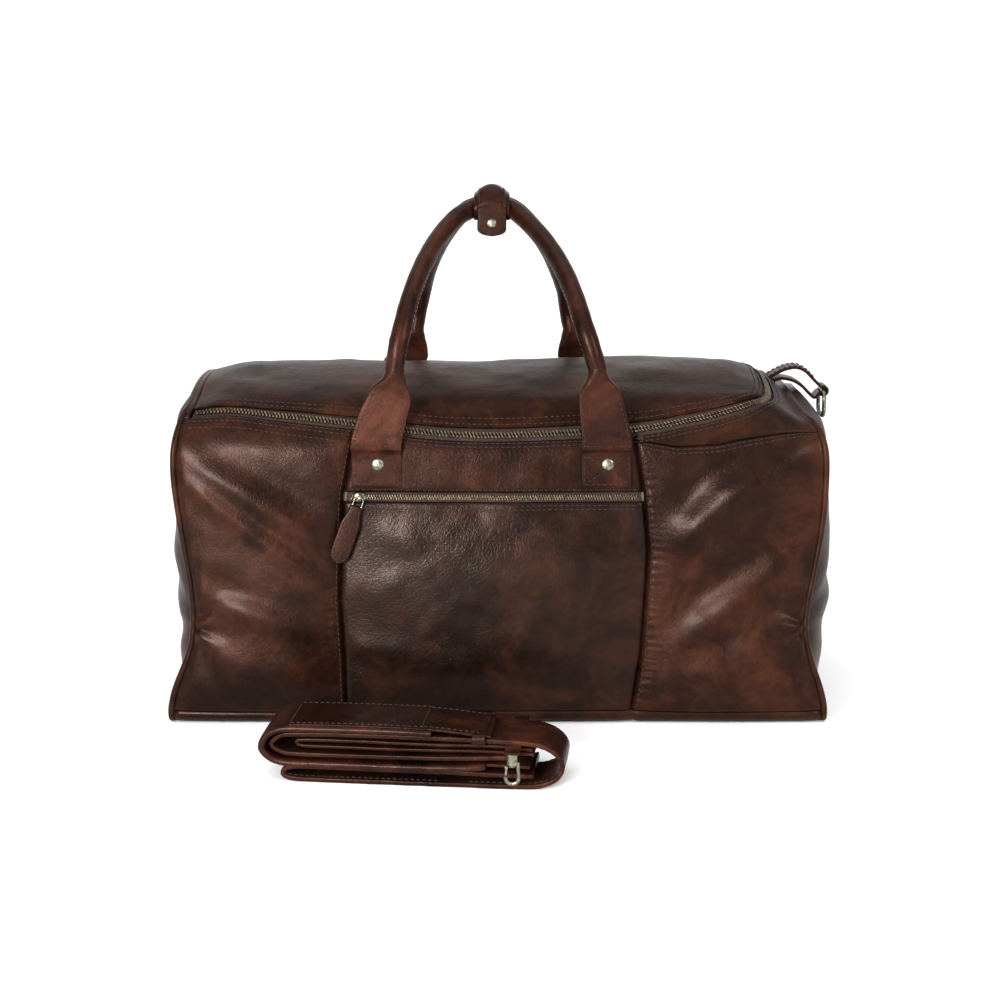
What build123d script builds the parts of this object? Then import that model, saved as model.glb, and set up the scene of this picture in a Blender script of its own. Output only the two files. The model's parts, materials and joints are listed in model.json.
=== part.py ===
from build123d import *
from math import atan2, cos, degrees, radians, sin
import os

# A soft leather weekender bag. The origin is the centre of the base on the floor:
# +X to the right end, -Y to the front, +Z up. All sizes are in millimetres.

# ---------------------------------------------------------------- driving dimensions
BODY_LENGTH = 548.0        # between the centres of the two end pipings
BODY_DEPTH = 256.0
CROWN_HEIGHT = 286.0       # top of the closed lid
SHOULDER_HEIGHT = 232.0    # where the upright walls start to turn in
SHOULDER_R = 42.0
BASE_R = 20.0
SKIN = 3.0                 # leather with its stiffening
PIPING_R = 3.0
BASE_SEAM_Z = 12.0

CENTRE_PANEL_HALF = 130.0  # seams at both sides of the pocket panel
POCKET_ZIP_Z = 197.5
POCKET_SLOT_HALF = 4.0
GUSSET_SEAM_Z = 243.5

ZIP_ANGLE = 30.0           # slope of the shoulder where the main zip runs
ZIP_RIGHT = 232.0          # where the zip crosses the top near the right end
ZIP_CORNER_R = 80.0
ZIP_SLOT_HALF = 7.0        # leather edge to the middle of the zip
ZIP_GAP_HALF = 0.7         # bare middle of the chain, where the slider's web runs
TOOTH_WIDTH = 2.8
TAPE_HALF = 14.0
LID_HINGE_X = -266.0

STRAP_WIDTH = 42.0         # handle's flat ends
PATCH_X = 95.0
PATCH_BOTTOM_Z = 206.0
HINGE_Z = 240.0            # fold line of the handle's flat ends
ROLL_R = 8.0
CORE_R = 4.7
RIVET_Z = 226.0
HANDLE_TOP_Z = 430.0
HANDLE_GAP_HALF = 12.0     # centre of each roll from the middle plane, at the top
WRAP_HALF_WIDTH = 15.5

SHOULDER_STRAP_CENTRE = (-70.0, -252.0)
SHOULDER_STRAP_TURN = -6.0
SHOULDER_STRAP_WIDTH = 60.0

# ---------------------------------------------------------------- derived
HALF_LENGTH = BODY_LENGTH / 2
HALF_DEPTH = BODY_DEPTH / 2
SKIN_END = HALF_LENGTH - PIPING_R
SHOULDER_Y = HALF_DEPTH - SHOULDER_R
RISE = CROWN_HEIGHT - SHOULDER_HEIGHT
CROWN_R = (SHOULDER_Y**2 + RISE**2 - SHOULDER_R**2) / (2 * (RISE - SHOULDER_R))
CROWN_CENTRE_Z = CROWN_HEIGHT - CROWN_R
CROWN_ANGLE = degrees(atan2(SHOULDER_HEIGHT - CROWN_CENTRE_Z, SHOULDER_Y))
ZIP_Y = SHOULDER_Y + SHOULDER_R * cos(radians(ZIP_ANGLE))
ZIP_Z = SHOULDER_HEIGHT + SHOULDER_R * sin(radians(ZIP_ANGLE))
FAR = 400.0

PATCH_Y = HALF_DEPTH + SKIN
HANDLE_HINGE_Y = PATCH_Y + 2.0


def save(name, shape):
    export_step(shape, f"parts/{name}.step")


def slab(x0, x1, y0, y1, z0, z1):
    """A block between two opposite corners."""
    centre = Pos((x0 + x1) / 2, (y0 + y1) / 2, (z0 + z1) / 2)
    return centre * Box(x1 - x0, y1 - y0, z1 - z0)


def group(solids):
    """Separate solids that belong to one node."""
    return Compound(children=list(solids))


def rod(start, end, radius):
    """A round bar between two points."""
    axis = Vector(*end) - Vector(*start)
    plane = Plane(origin=start, z_dir=axis)
    return extrude(plane * Circle(radius), amount=axis.length)


def swept(path, *profile_radii):
    """A round bar, or a pipe when a second radius is given, along a path."""
    profile = Circle(profile_radii[0])
    if len(profile_radii) > 1:
        profile -= Circle(profile_radii[1])
    return sweep(Plane(origin=path @ 0, z_dir=path % 0) * profile, path=path)


# ---------------------------------------------------------------- the bag's form
def section(inset):
    """Cross-section of the bag in YZ, drawn a distance inside the outer skin."""
    side = HALF_DEPTH - inset
    foot = HALF_DEPTH - BASE_R
    edges = [
        Line((-foot, inset), (foot, inset)),
        CenterArc((foot, BASE_R), BASE_R - inset, -90, 90),
        Line((side, BASE_R), (side, SHOULDER_HEIGHT)),
        CenterArc((SHOULDER_Y, SHOULDER_HEIGHT), SHOULDER_R - inset, 0, CROWN_ANGLE),
        CenterArc((0, CROWN_CENTRE_Z), CROWN_R - inset, CROWN_ANGLE, 180 - 2 * CROWN_ANGLE),
        CenterArc((-SHOULDER_Y, SHOULDER_HEIGHT), SHOULDER_R - inset, 180 - CROWN_ANGLE, CROWN_ANGLE),
        Line((-side, SHOULDER_HEIGHT), (-side, BASE_R)),
        CenterArc((-foot, BASE_R), BASE_R - inset, 180, 90),
    ]
    return make_face(edges)


def tube(inset, x0, x1):
    return extrude(Plane.YZ.offset(x0) * section(inset), amount=x1 - x0)


def skin(outer, inner, x0, x1):
    """The layer between two insets, running along the bag."""
    return tube(outer, x0, x1) - tube(inner, x0 - 1, x1 + 1)


def lid_side(outset):
    """Everything on the lid's side of the zip line, with that line moved outwards."""
    slope = radians(ZIP_ANGLE)
    plane = Plane((0, -ZIP_Y, ZIP_Z), x_dir=(1, 0, 0), z_dir=(0, -cos(slope), sin(slope)))
    right = ZIP_RIGHT + outset
    round_edge = FilletPolyline(
        (-FAR, -outset), (right, -outset), (right, FAR), radius=ZIP_CORNER_R + outset
    )
    rest = Polyline((right, FAR), (-FAR, FAR), (-FAR, -outset))
    prism = extrude(plane * make_face([*round_edge.edges(), *rest.edges()]), amount=FAR, both=True)
    front = prism & slab(-FAR, FAR, -FAR, 0, 0, FAR)
    return front + mirror(front, about=Plane.XZ)


# ---------------------------------------------------------------- shell
def shell():
    wall = skin(0, SKIN, -SKIN_END, SKIN_END) - lid_side(ZIP_SLOT_HALF)
    centre = CENTRE_PANEL_HALF
    save("bottom_panel", wall & slab(-FAR, FAR, -FAR, FAR, 0, BASE_SEAM_Z))

    front = wall & slab(-FAR, FAR, -FAR, 0, BASE_SEAM_Z, FAR)
    holes = [
        Pos(side * PATCH_X, -HALF_DEPTH, RIVET_Z) * Rot(90, 0, 0) * Cylinder(2.2, 20)
        for side in (-1, 1)
    ]
    save("front_panel_left", front & slab(-FAR, -centre, -FAR, 0, 0, FAR))
    save("front_panel_right", front & slab(centre, FAR, -FAR, 0, 0, GUSSET_SEAM_Z))
    yoke = front & slab(-centre, centre, -FAR, 0, POCKET_ZIP_Z + POCKET_SLOT_HALF, FAR)
    save("front_yoke", yoke - holes[0] - holes[1])
    save("pocket_panel", front & slab(-centre, centre, -FAR, 0, 0, POCKET_ZIP_Z - POCKET_SLOT_HALF))

    back = wall & slab(-FAR, FAR, 0, FAR, BASE_SEAM_Z, FAR)
    gusset_zone = slab(centre, FAR, -FAR, FAR, GUSSET_SEAM_Z, FAR)
    save("back_panel", back - gusset_zone - mirror(holes[0] + holes[1], about=Plane.XZ))
    save("top_gusset", wall & gusset_zone)

    # the seam that the lid is sewn into, at the left end
    save("hinge_seam", skin(0, SKIN, -SKIN_END, LID_HINGE_X - 0.5) & lid_side(ZIP_SLOT_HALF))

    ring = section(PIPING_R).face().outer_wire()
    flange = tube(SKIN, SKIN_END - SKIN, SKIN_END)
    bulge = tube(2 * PIPING_R + 0.3, SKIN_END, SKIN_END + 6)
    end_panel = flange + bulge
    piping = swept(Plane.YZ.offset(HALF_LENGTH) * ring, PIPING_R)
    save("end_panel_right", end_panel)
    save("end_panel_left", mirror(end_panel, about=Plane.YZ))
    save("piping_right", piping)
    save("piping_left", mirror(piping, about=Plane.YZ))


# ---------------------------------------------------------------- inside
LINING_GAP = 11.0          # room behind the walls for the zips and the pocket
BOARD_TOP = SKIN + 4.0


def inside():
    half_x = SKIN_END - 8
    half_y = HALF_DEPTH - LINING_GAP
    top = SHOULDER_HEIGHT + 4
    board_y = HALF_DEPTH - BASE_R
    save("base_board", slab(-half_x, half_x, -board_y, board_y, SKIN, BOARD_TOP))

    def tub(thickness, radius):
        low = BOARD_TOP + thickness
        block = slab(-half_x + thickness, half_x - thickness,
                     -half_y + thickness, half_y - thickness, low, top)
        bottom = block.edges().filter_by(lambda edge: abs(edge.center().Z - low) < 0.01)
        return fillet(bottom, radius)

    save("lining", tub(0, 12) - tub(1, 11))

    # front pocket: a shallow cloth tray behind the pocket panel
    back_y = -half_y - 0.2
    face_y = -HALF_DEPTH + SKIN
    tray = slab(-126, 126, face_y, back_y, 30, 214)
    save("pocket_lining", tray - slab(-125, 125, face_y - 1, back_y - 1, 31, 213))


# ---------------------------------------------------------------- zips
def main_zip():
    start = LID_HINGE_X + 4
    rear_park = slab(-FAR, -230, 0, FAR, 0, FAR)    # the slider waits here, clear of the lid's chain
    gap = ZIP_GAP_HALF
    tooth = gap + TOOTH_WIDTH
    upper_teeth = lid_side(-gap) - lid_side(-tooth)
    lower_teeth = lid_side(tooth) - lid_side(gap)
    upper_tape = lid_side(-gap) - lid_side(-TAPE_HALF)
    lower_tape = lid_side(TAPE_HALF) - lid_side(gap)
    teeth_layer = skin(1, SKIN, start, SKIN_END - 4)
    tape_layer = skin(SKIN, SKIN + 1, start, SKIN_END - 4)
    save("zip_teeth_upper", (teeth_layer & upper_teeth) - rear_park)
    save("zip_tape_upper", (tape_layer & upper_tape) - rear_park)
    save("zip_teeth_lower", teeth_layer & lower_teeth)
    save("zip_tape_lower", tape_layer & lower_tape)


def lid():
    save("lid_panel", skin(0, SKIN, LID_HINGE_X, SKIN_END) & lid_side(-ZIP_SLOT_HALF))
    save("lid_lining", skin(SKIN + 1, SKIN + 2, LID_HINGE_X + 4, SKIN_END) & lid_side(-TAPE_HALF))


SLIDER_LENGTH = 15.0
SLIDER_HALF_WIDTH = 5.0
BAIL_X = 4.0               # length of the bail along the chain
RING_WIRE_R = 0.8
RING_WIDTH = 13.0
RING_HEIGHT = 10.0


def slider(plane, bail_height):
    """Zip slider with plates over and under the chain. Plane: x along the chain, z outwards."""
    half = SLIDER_HALF_WIDTH
    long = SLIDER_LENGTH / 2
    top = slab(-long, long, -half, half, 0.35, 2.0)
    web = slab(-long, long, -0.3, 0.3, -5.4, 0.5)
    under = slab(-long, long, -half, half, -6.4, -5.2)
    bail = slab(-BAIL_X / 2, BAIL_X / 2, -3.4, 3.4, 1.9, bail_height + 2.6)
    hole = slab(-BAIL_X, BAIL_X, -2.0, 2.0, bail_height - 1.6, bail_height + 1.4)
    return plane * (top + web + under + bail - hole)


def pull_ring(plane):
    """Wire ring whose top bar lies in the slider's bail, at the plane's origin."""
    path = (Pos(0, -RING_HEIGHT / 2, 0) * RectangleRounded(RING_WIDTH, RING_HEIGHT, 3.5)).wire()
    return plane * swept(path, RING_WIRE_R)


def pull_tag(plane, length, width, lean):
    """Stitched leather tag hanging below the ring."""
    top = -RING_HEIGHT - RING_WIRE_R - 0.7
    outline = Pos(0, -length / 2, 0) * SlotOverall(length, width, rotation=90)
    return plane * Pos(0, top, 0) * Rot(0, 0, lean) * extrude(outline, amount=1.6, both=True)


POCKET_SLIDER_X = -116.0
POCKET_BAIL = 4.0
MAIN_SLIDER_X = -246.0
MAIN_BAIL = 7.0
TAG_OFF_WALL = 8.0         # degrees that the rear tag leans out to clear the wall


def pocket_zip():
    front = -HALF_DEPTH
    mid = POCKET_ZIP_Z
    gap = ZIP_GAP_HALF
    span = CENTRE_PANEL_HALF - 6
    rows = [(mid + gap, mid + gap + 2), (mid - gap - 2, mid - gap)]
    tapes = [(mid + gap, mid + TAPE_HALF - 1), (mid - TAPE_HALF + 1, mid - gap)]
    save("pocket_zip_teeth", group(slab(-span, span, front + 1.2, front + SKIN, *row) for row in rows))
    save("pocket_zip_tape", group(
        slab(-span, span, front + SKIN, front + SKIN + 1, *row) for row in tapes
    ))
    plane = Plane((POCKET_SLIDER_X, front, mid), x_dir=(1, 0, 0), z_dir=(0, -1, 0))
    save("pocket_slider", slider(plane, POCKET_BAIL))
    hang = Plane((POCKET_SLIDER_X, front - POCKET_BAIL, mid), x_dir=(1, 0, 0), z_dir=(0, -1, 0))
    save("pocket_pull_ring", pull_ring(hang))
    save("pocket_pull_tag", pull_tag(hang, 46, 17, -20))


def main_slider():
    slope = radians(ZIP_ANGLE)
    out = Vector(0, cos(slope), sin(slope))
    seat = Vector(MAIN_SLIDER_X, ZIP_Y, ZIP_Z)
    save("main_slider", slider(Plane(seat, x_dir=(-1, 0, 0), z_dir=out), MAIN_BAIL))
    lean = radians(TAG_OFF_WALL)
    hang = Plane(seat + out * MAIN_BAIL, x_dir=(-1, 0, 0), z_dir=(0, cos(lean), sin(lean)))
    save("main_pull_ring", pull_ring(hang))
    save("main_pull_tag", pull_tag(hang, 42, 15, 0))


# ---------------------------------------------------------------- handles
ROLL_START_Z = 300.0
ROLL_START_X = 86.0
HANDLE_SHAPE = [           # half of the roll's centre line, base to top, on the front handle
    (-ROLL_START_X, -HANDLE_HINGE_Y, ROLL_START_Z),
    (-ROLL_START_X, -HANDLE_HINGE_Y, 334.0),
    (-60.0, -62.0, 402.0),
    (-31.0, -HANDLE_GAP_HALF, HANDLE_TOP_Z),
]


def both_sides(make, name):
    """The front piece as made, and its mirror image at the back."""
    front = make()
    save(name.format("front"), front)
    save(name.format("back"), mirror(front, about=Plane.XZ))


def handle_path():
    other = [(-x, y, z) for x, y, z in reversed(HANDLE_SHAPE)]
    return FilletPolyline(*HANDLE_SHAPE, *other, radius=[30, 60, 24, 24, 60, 30])


def base_strap(side):
    """Flat end of a handle: from the fold line up to the roll."""
    low, high = HINGE_Z + 0.5, ROLL_START_Z
    wide, narrow = STRAP_WIDTH / 2, ROLL_R + 6
    outline = make_face(Polyline(
        (side * PATCH_X - wide, low), (side * PATCH_X + wide, low),
        (side * ROLL_START_X + narrow, high), (side * ROLL_START_X - narrow, high),
        (side * PATCH_X - wide, low),
    ))
    plane = Plane((0, -HANDLE_HINGE_Y, 0), x_dir=(1, 0, 0), z_dir=(0, -1, 0))
    return extrude(plane * outline, amount=SKIN / 2, both=True)


def patch(side):
    """Sewn base of a handle, riveted through the yoke."""
    plate = slab(side * PATCH_X - STRAP_WIDTH / 2, side * PATCH_X + STRAP_WIDTH / 2,
                 -PATCH_Y, -HALF_DEPTH, PATCH_BOTTOM_Z, HINGE_Z - 0.5)
    hole = Pos(side * PATCH_X, -HALF_DEPTH, RIVET_Z) * Rot(90, 0, 0) * Cylinder(2.2, 20)
    return plate - hole


def rivet(side, facing):
    """Tubular rivet with a low domed cap outside and a washer inside."""
    stem = rod((0, 0, -2 * SKIN), (0, 0, 0), 2.0)
    cap = Cylinder(5.5, 1.4, align=(Align.CENTER, Align.CENTER, Align.MIN))
    cap = fillet(cap.edges().sort_by(Axis.Z)[-1], 1.0)
    washer = Pos(0, 0, -2 * SKIN - 1) * Cylinder(4.5, 1.0, align=(Align.CENTER, Align.CENTER, Align.MIN))
    plane = Plane((side * PATCH_X, facing * PATCH_Y, RIVET_Z), x_dir=(1, 0, 0), z_dir=(0, facing, 0))
    return plane * (stem + cap + washer)


def handles():
    both_sides(lambda: swept(handle_path(), ROLL_R, CORE_R + 0.3), "handle_{}_roll")
    both_sides(lambda: swept(handle_path(), CORE_R), "handle_{}_core")
    for side, word in ((-1, "left"), (1, "right")):
        both_sides(lambda: base_strap(side), "handle_{}_strap_" + word)
        both_sides(lambda: patch(side), "handle_patch_{}_" + word)
    save("handle_rivets", group(rivet(side, facing) for side in (-1, 1) for facing in (-1, 1)))


WRAP_OUTER_R = ROLL_R + 3.0
WRAP_INNER_R = ROLL_R + 0.4
WRAP_SPLIT_Y = 2.5


def wrap():
    """Leather round both rolls: one half stays on the back handle, the other opens."""
    def stadium(radius):
        ends = [Pos(side * HANDLE_GAP_HALF, HANDLE_TOP_Z) * Circle(radius) for side in (-1, 1)]
        return ends[0] + ends[1] + Pos(0, HANDLE_TOP_Z) * Rectangle(2 * HANDLE_GAP_HALF, 2 * radius)

    band = extrude(Plane.YZ * (stadium(WRAP_OUTER_R) - stadium(WRAP_INNER_R)),
                   amount=WRAP_HALF_WIDTH, both=True)
    save("handle_wrap", band & slab(-FAR, FAR, WRAP_SPLIT_Y + 0.3, FAR, 0, 2 * FAR))
    save("wrap_flap", band & slab(-FAR, FAR, -FAR, WRAP_SPLIT_Y - 0.3, 0, 2 * FAR))
    cap_z = HANDLE_TOP_Z - 4
    cap_y = -HANDLE_GAP_HALF - WRAP_OUTER_R
    save("wrap_snap_cap", rod((0, cap_y, cap_z), (0, cap_y - 2.2, cap_z), 5.0))


# ---------------------------------------------------------------- D-rings at the ends
D_RING_X = 284.5
D_RING_Z = 268.0
D_RING_LEFT_DROP = 50.0      # the left ring hangs lower, clear of the lid's hinge
D_RING_WIDTH = 32.0
D_RING_HEIGHT = 22.0
D_RING_WIRE_R = 1.8
TAB_HALF_WIDTH = 10.0


def d_rings():
    path = RectangleRounded(D_RING_WIDTH, D_RING_HEIGHT, 8).wire()
    plane = Plane((D_RING_X, 0, D_RING_Z - D_RING_HEIGHT / 2), x_dir=(0, 1, 0), z_dir=(1, 0, 0))
    ring = plane * swept(path, D_RING_WIRE_R)
    save("d_ring_right", ring)
    save("d_ring_left", Pos(0, 0, -D_RING_LEFT_DROP) * mirror(ring, about=Plane.YZ))


def d_ring_tabs():
    across = Plane((0, 0, 0), x_dir=(1, 0, 0), z_dir=(0, -1, 0))
    bore = D_RING_WIRE_R + 0.4
    sleeve = Pos(D_RING_X, D_RING_Z) * Circle(bore + 2.4)
    hole = Pos(D_RING_X, D_RING_Z) * Circle(bore)

    # right: lies on the gusset and bends down over the end seam
    top = CROWN_HEIGHT
    over = make_face(Polyline(
        (240, top), (279, top), (281.5, D_RING_Z + 3), (287, D_RING_Z + 3),
        (283.5, top + 3), (240, top + 3), (240, top),
    ))
    right = extrude(across * (over + sleeve - hole), amount=TAB_HALF_WIDTH, both=True)
    save("d_ring_tab_right", right)

    # left: sewn to the end panel, because the lid opens there
    face_x = SKIN_END + 6
    plate = Pos(face_x + 1.4, 256) * Rectangle(2.8, 36)
    bridge = Pos((face_x + D_RING_X) / 2, D_RING_Z + 3.6) * Rectangle(D_RING_X - face_x, 2)
    left = extrude(across * (plate + bridge + sleeve - hole), amount=TAB_HALF_WIDTH, both=True)
    save("d_ring_tab_left", Pos(0, 0, -D_RING_LEFT_DROP) * mirror(left, about=Plane.YZ))


# ---------------------------------------------------------------- folded shoulder strap
LAYER = 4.0
PAD = 6.0


def ribbon(points, radii, half_thickness, width):
    """A flat strap on edge along a path drawn in its own XZ plane."""
    path = FilletPolyline(*points, radius=radii)
    outline = trace(path, 2 * half_thickness)
    return extrude(Plane.XZ * outline, amount=width / 2, both=True)


def shoulder_strap():
    place = Pos(SHOULDER_STRAP_CENTRE[0], SHOULDER_STRAP_CENTRE[1], 0) * Rot(0, 0, SHOULDER_STRAP_TURN)
    width = SHOULDER_STRAP_WIDTH
    half = LAYER / 2
    low, second, third, top = half, 12.0, 22.5, 38.5
    left, right = -108.0, 122.0

    strap = ribbon(
        [(80, third), (left, third), (left, top), (right, top), (right, low), (left + 8, low),
         (left + 8, second), (100, second)],
        [(top - third) / 2 - 0.05] * 2 + [16.0] * 2 + [(second - low) / 2 - 0.05] * 2,
        half, width - 8,
    )
    save("strap_leather", place * strap)

    fold_r = (top - third) / 2
    fold_z = (top + third) / 2
    pad_in = fold_r + half + 0.15
    fold_x = left + fold_r
    disc = Pos(fold_x, fold_z) * (Circle(pad_in + PAD) - Circle(pad_in))
    curve = disc & (Pos(fold_x - 50, fold_z) * Rectangle(100, 100))
    upper = Pos((fold_x + 20) / 2, fold_z + pad_in + PAD / 2) * Rectangle(20 - fold_x, PAD)
    lower = Pos((fold_x + 66) / 2, fold_z - pad_in - PAD / 2) * Rectangle(66 - fold_x, PAD)
    pad = extrude(Plane.XZ * (curve + upper + lower), amount=width / 2, both=True)
    save("strap_pad", place * pad)

    tail = ribbon([(98, 28.4), (-86, 28.4), (-86, 33.2), (98, 33.2)], [2.35] * 2, 1.6, width - 14)
    save("strap_tail", place * tail)

    keeper_outer = Pos(52, 0, top) * Box(10, width - 4, LAYER + 2.4)
    keeper_inner = Pos(52, 0, top) * Box(12, width - 7.6, LAYER + 0.2)
    save("strap_keeper", place * (keeper_outer - keeper_inner))

    loops, swivels = zip(*(hook_set(place, word, side) for word, side in (("front", -1), ("rear", 1))))
    save("strap_hook_loops", group(loops))
    save("hook_swivels", group(swivels))


HOOK_X = 84.0
HOOK_OUT = 10.0            # swivel axis from the edge of the strap
SWIVEL_R = 1.5
SWIVEL_TOP = 34.8
SWIVEL_FOOT = 25.0
GATE_PIVOT = (-4.4, 0, 23.4)   # from the swivel's axis, under the collar
GATE_R = 1.1


def hook_set(place, word, facing):
    """Snap hook hanging from a leather loop at the strap's edge, with its swivel and gate."""
    axis_y = facing * (SHOULDER_STRAP_WIDTH / 2 + HOOK_OUT)
    inner_y = facing * (SHOULDER_STRAP_WIDTH / 2 - 19)
    spot = place * Pos(HOOK_X, axis_y, 0)
    loop = slab(-6, 6, min(0, inner_y - axis_y), max(0, inner_y - axis_y), 34.9, 36.2)
    loop += slab(-6, 6, -6, 6, 34.9, 36.2)

    stem = rod((0, 0, SWIVEL_FOOT), (0, 0, 34.9), SWIVEL_R)
    head = rod((0, 0, SWIVEL_FOOT - 1.2), (0, 0, SWIVEL_FOOT), 2.6)

    collar = rod((0, 0, SWIVEL_FOOT + 0.4), (0, 0, SWIVEL_TOP - 0.6), 4.4)
    bore = rod((0, 0, SWIVEL_FOOT), (0, 0, SWIVEL_TOP), SWIVEL_R + 0.06)
    shank = FilletPolyline((4.2, 0, 27.5), (5.0, 0, 10), (-5.0, 0, 10), (-5.0, 0, 16),
                           radius=[4.5, 4.5])
    hook = collar + swept(shank, 1.5) - bore
    save(f"snap_hook_{word}", spot * hook)
    gate = rod((-5.0, 0, 16.6), GATE_PIVOT, GATE_R)
    knuckle = Pos(*GATE_PIVOT) * rod((0, -1.7, 0), (0, 1.7, 0), GATE_R + 0.2)
    save(f"hook_gate_{word}", spot * (gate + knuckle))
    return spot * loop, spot * (stem + head)


shell()
inside()
main_zip()
lid()
pocket_zip()
main_slider()
handles()
wrap()
d_rings()
d_ring_tabs()
shoulder_strap()
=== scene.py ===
import json
from math import atan2, cos, pi, radians, sin

import bmesh
import bpy
import numpy as np
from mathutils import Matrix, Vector


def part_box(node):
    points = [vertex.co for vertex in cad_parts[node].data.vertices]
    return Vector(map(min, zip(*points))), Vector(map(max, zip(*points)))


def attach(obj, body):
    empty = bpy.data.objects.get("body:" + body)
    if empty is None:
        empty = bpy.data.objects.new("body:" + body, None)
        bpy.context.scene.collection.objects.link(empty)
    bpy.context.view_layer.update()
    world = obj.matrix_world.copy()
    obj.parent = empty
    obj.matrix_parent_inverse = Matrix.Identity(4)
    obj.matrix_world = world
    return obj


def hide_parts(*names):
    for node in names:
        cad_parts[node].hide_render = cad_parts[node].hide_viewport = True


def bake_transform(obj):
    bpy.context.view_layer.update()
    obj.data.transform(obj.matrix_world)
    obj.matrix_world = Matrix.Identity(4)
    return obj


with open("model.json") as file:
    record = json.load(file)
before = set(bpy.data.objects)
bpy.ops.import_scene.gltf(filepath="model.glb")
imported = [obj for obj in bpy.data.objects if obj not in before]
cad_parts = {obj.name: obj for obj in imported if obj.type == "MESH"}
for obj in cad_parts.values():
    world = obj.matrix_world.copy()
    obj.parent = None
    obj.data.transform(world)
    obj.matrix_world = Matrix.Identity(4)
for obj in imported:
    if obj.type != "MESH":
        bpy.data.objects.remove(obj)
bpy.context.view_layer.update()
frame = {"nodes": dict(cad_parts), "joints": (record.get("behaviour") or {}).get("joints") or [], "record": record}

# Lengths are in mm, and make() turns them into the metres of the frame. The bag's leather is one
# continuous surface, skin(x, s): x runs along the bag, and the girth s runs round its section from
# the middle of the crown, negative to the front. Every panel, zip and seam is cut from that surface.
MM = 0.001


def mm(vector):
    return np.array(vector) / MM


# ------------------------------------------------------------------ places read from the frame (mm)
SKIN_END, _, BASE_SEAM_Z = mm(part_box("bottom_panel")[1])
HALF_DEPTH = -mm(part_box("front_panel_left")[0])[1]
CROWN_Z = mm(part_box("lid_panel")[1])[2]
PIPING_X = (mm(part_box("piping_right")[0])[0] + mm(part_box("piping_right")[1])[0]) / 2
SEAM_X = mm(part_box("front_yoke")[1])[0]
POCKET_TOP_Z = mm(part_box("pocket_panel")[1])[2]
YOKE_LOW_Z = mm(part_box("front_yoke")[0])[2]
POCKET_ZIP_Z = (POCKET_TOP_Z + YOKE_LOW_Z) / 2
PATCH_LOW, PATCH_HIGH = (mm(v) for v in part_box("handle_patch_front_right"))
PATCH_X = (PATCH_LOW[0] + PATCH_HIGH[0]) / 2
STRAP_HALF = (PATCH_HIGH[0] - PATCH_LOW[0]) / 2
JOINTS = {joint["name"]: joint for joint in frame["joints"]}
HANDLE_HINGE = mm(JOINTS["handle_front_fold"]["pos_m"])
LID_HINGE = mm(JOINTS["lid_open"]["pos_m"])

# form of the bag's section, as in the CAD model
SHOULDER_Z = 232.0
SHOULDER_R = 42.0
BASE_R = 20.0
SHOULDER_Y = HALF_DEPTH - SHOULDER_R
RISE = CROWN_Z - SHOULDER_Z
CROWN_R = (SHOULDER_Y**2 + RISE**2 - SHOULDER_R**2) / (2 * (RISE - SHOULDER_R))
CROWN_SWEEP = pi / 2 - atan2(SHOULDER_Z - CROWN_Z + CROWN_R, SHOULDER_Y)

# girths at which the crown, shoulder, wall, base round and base end
S_CROWN = CROWN_R * CROWN_SWEEP
S_SHOULDER = S_CROWN + SHOULDER_R * (pi / 2 - CROWN_SWEEP)
S_WALL = S_SHOULDER + SHOULDER_Z - BASE_R
S_BASE = S_WALL + BASE_R * pi / 2
S_END = S_BASE + HALF_DEPTH - BASE_R

# girth of the main zip's middle line, 30 degrees above the wall, and half the slot it lies in
ZIP_S = S_CROWN + SHOULDER_R * (pi / 2 - CROWN_SWEEP - radians(30))
ZIP_SLOT = 6.0


# ------------------------------------------------------------------ small maths
def smooth(low, high, value):
    t = np.clip((value - low) / (high - low), 0, 1)
    return t * t * (3 - 2 * t)


def bump(value, centre, width):
    return np.exp(-((value - centre) / width) ** 2)


def unit(v):
    return v / np.maximum(np.linalg.norm(v, axis=-1, keepdims=True), 1e-9)


def lengths_along(points):
    """Distance of each point of a path from its start."""
    return np.concatenate([[0], np.cumsum(np.linalg.norm(np.diff(points, axis=0), axis=1))])


def lattice(i, j, k, seed):
    """A fixed pseudo-random value between 0 and 1 for each whole-numbered place."""
    n = np.sin(i * 127.1 + j * 311.7 + k * 74.7 + seed * 53.3) * 43758.5453
    return n - np.floor(n)


def noise(x, y, z, scale, seed=0):
    """Smooth value noise between -1 and 1, with features about `scale` wide."""
    x, y, z = (np.asarray(v, float) / scale for v in (x, y, z))
    i, j, k = np.floor(x), np.floor(y), np.floor(z)
    u, v, w = (smooth(0, 1, a - b) for a, b in ((x, i), (y, j), (z, k)))
    total = 0
    for di in (0, 1):
        for dj in (0, 1):
            for dk in (0, 1):
                weight = (u if di else 1 - u) * (v if dj else 1 - v) * (w if dk else 1 - w)
                total = total + weight * lattice(i + di, j + dj, k + dk, seed)
    return total * 2 - 1


# ------------------------------------------------------------------ the bag's skin
FOOT_POWER = 4.0           # 2 turns the wall into the base on a quarter circle, 4 nearly squarely


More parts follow.
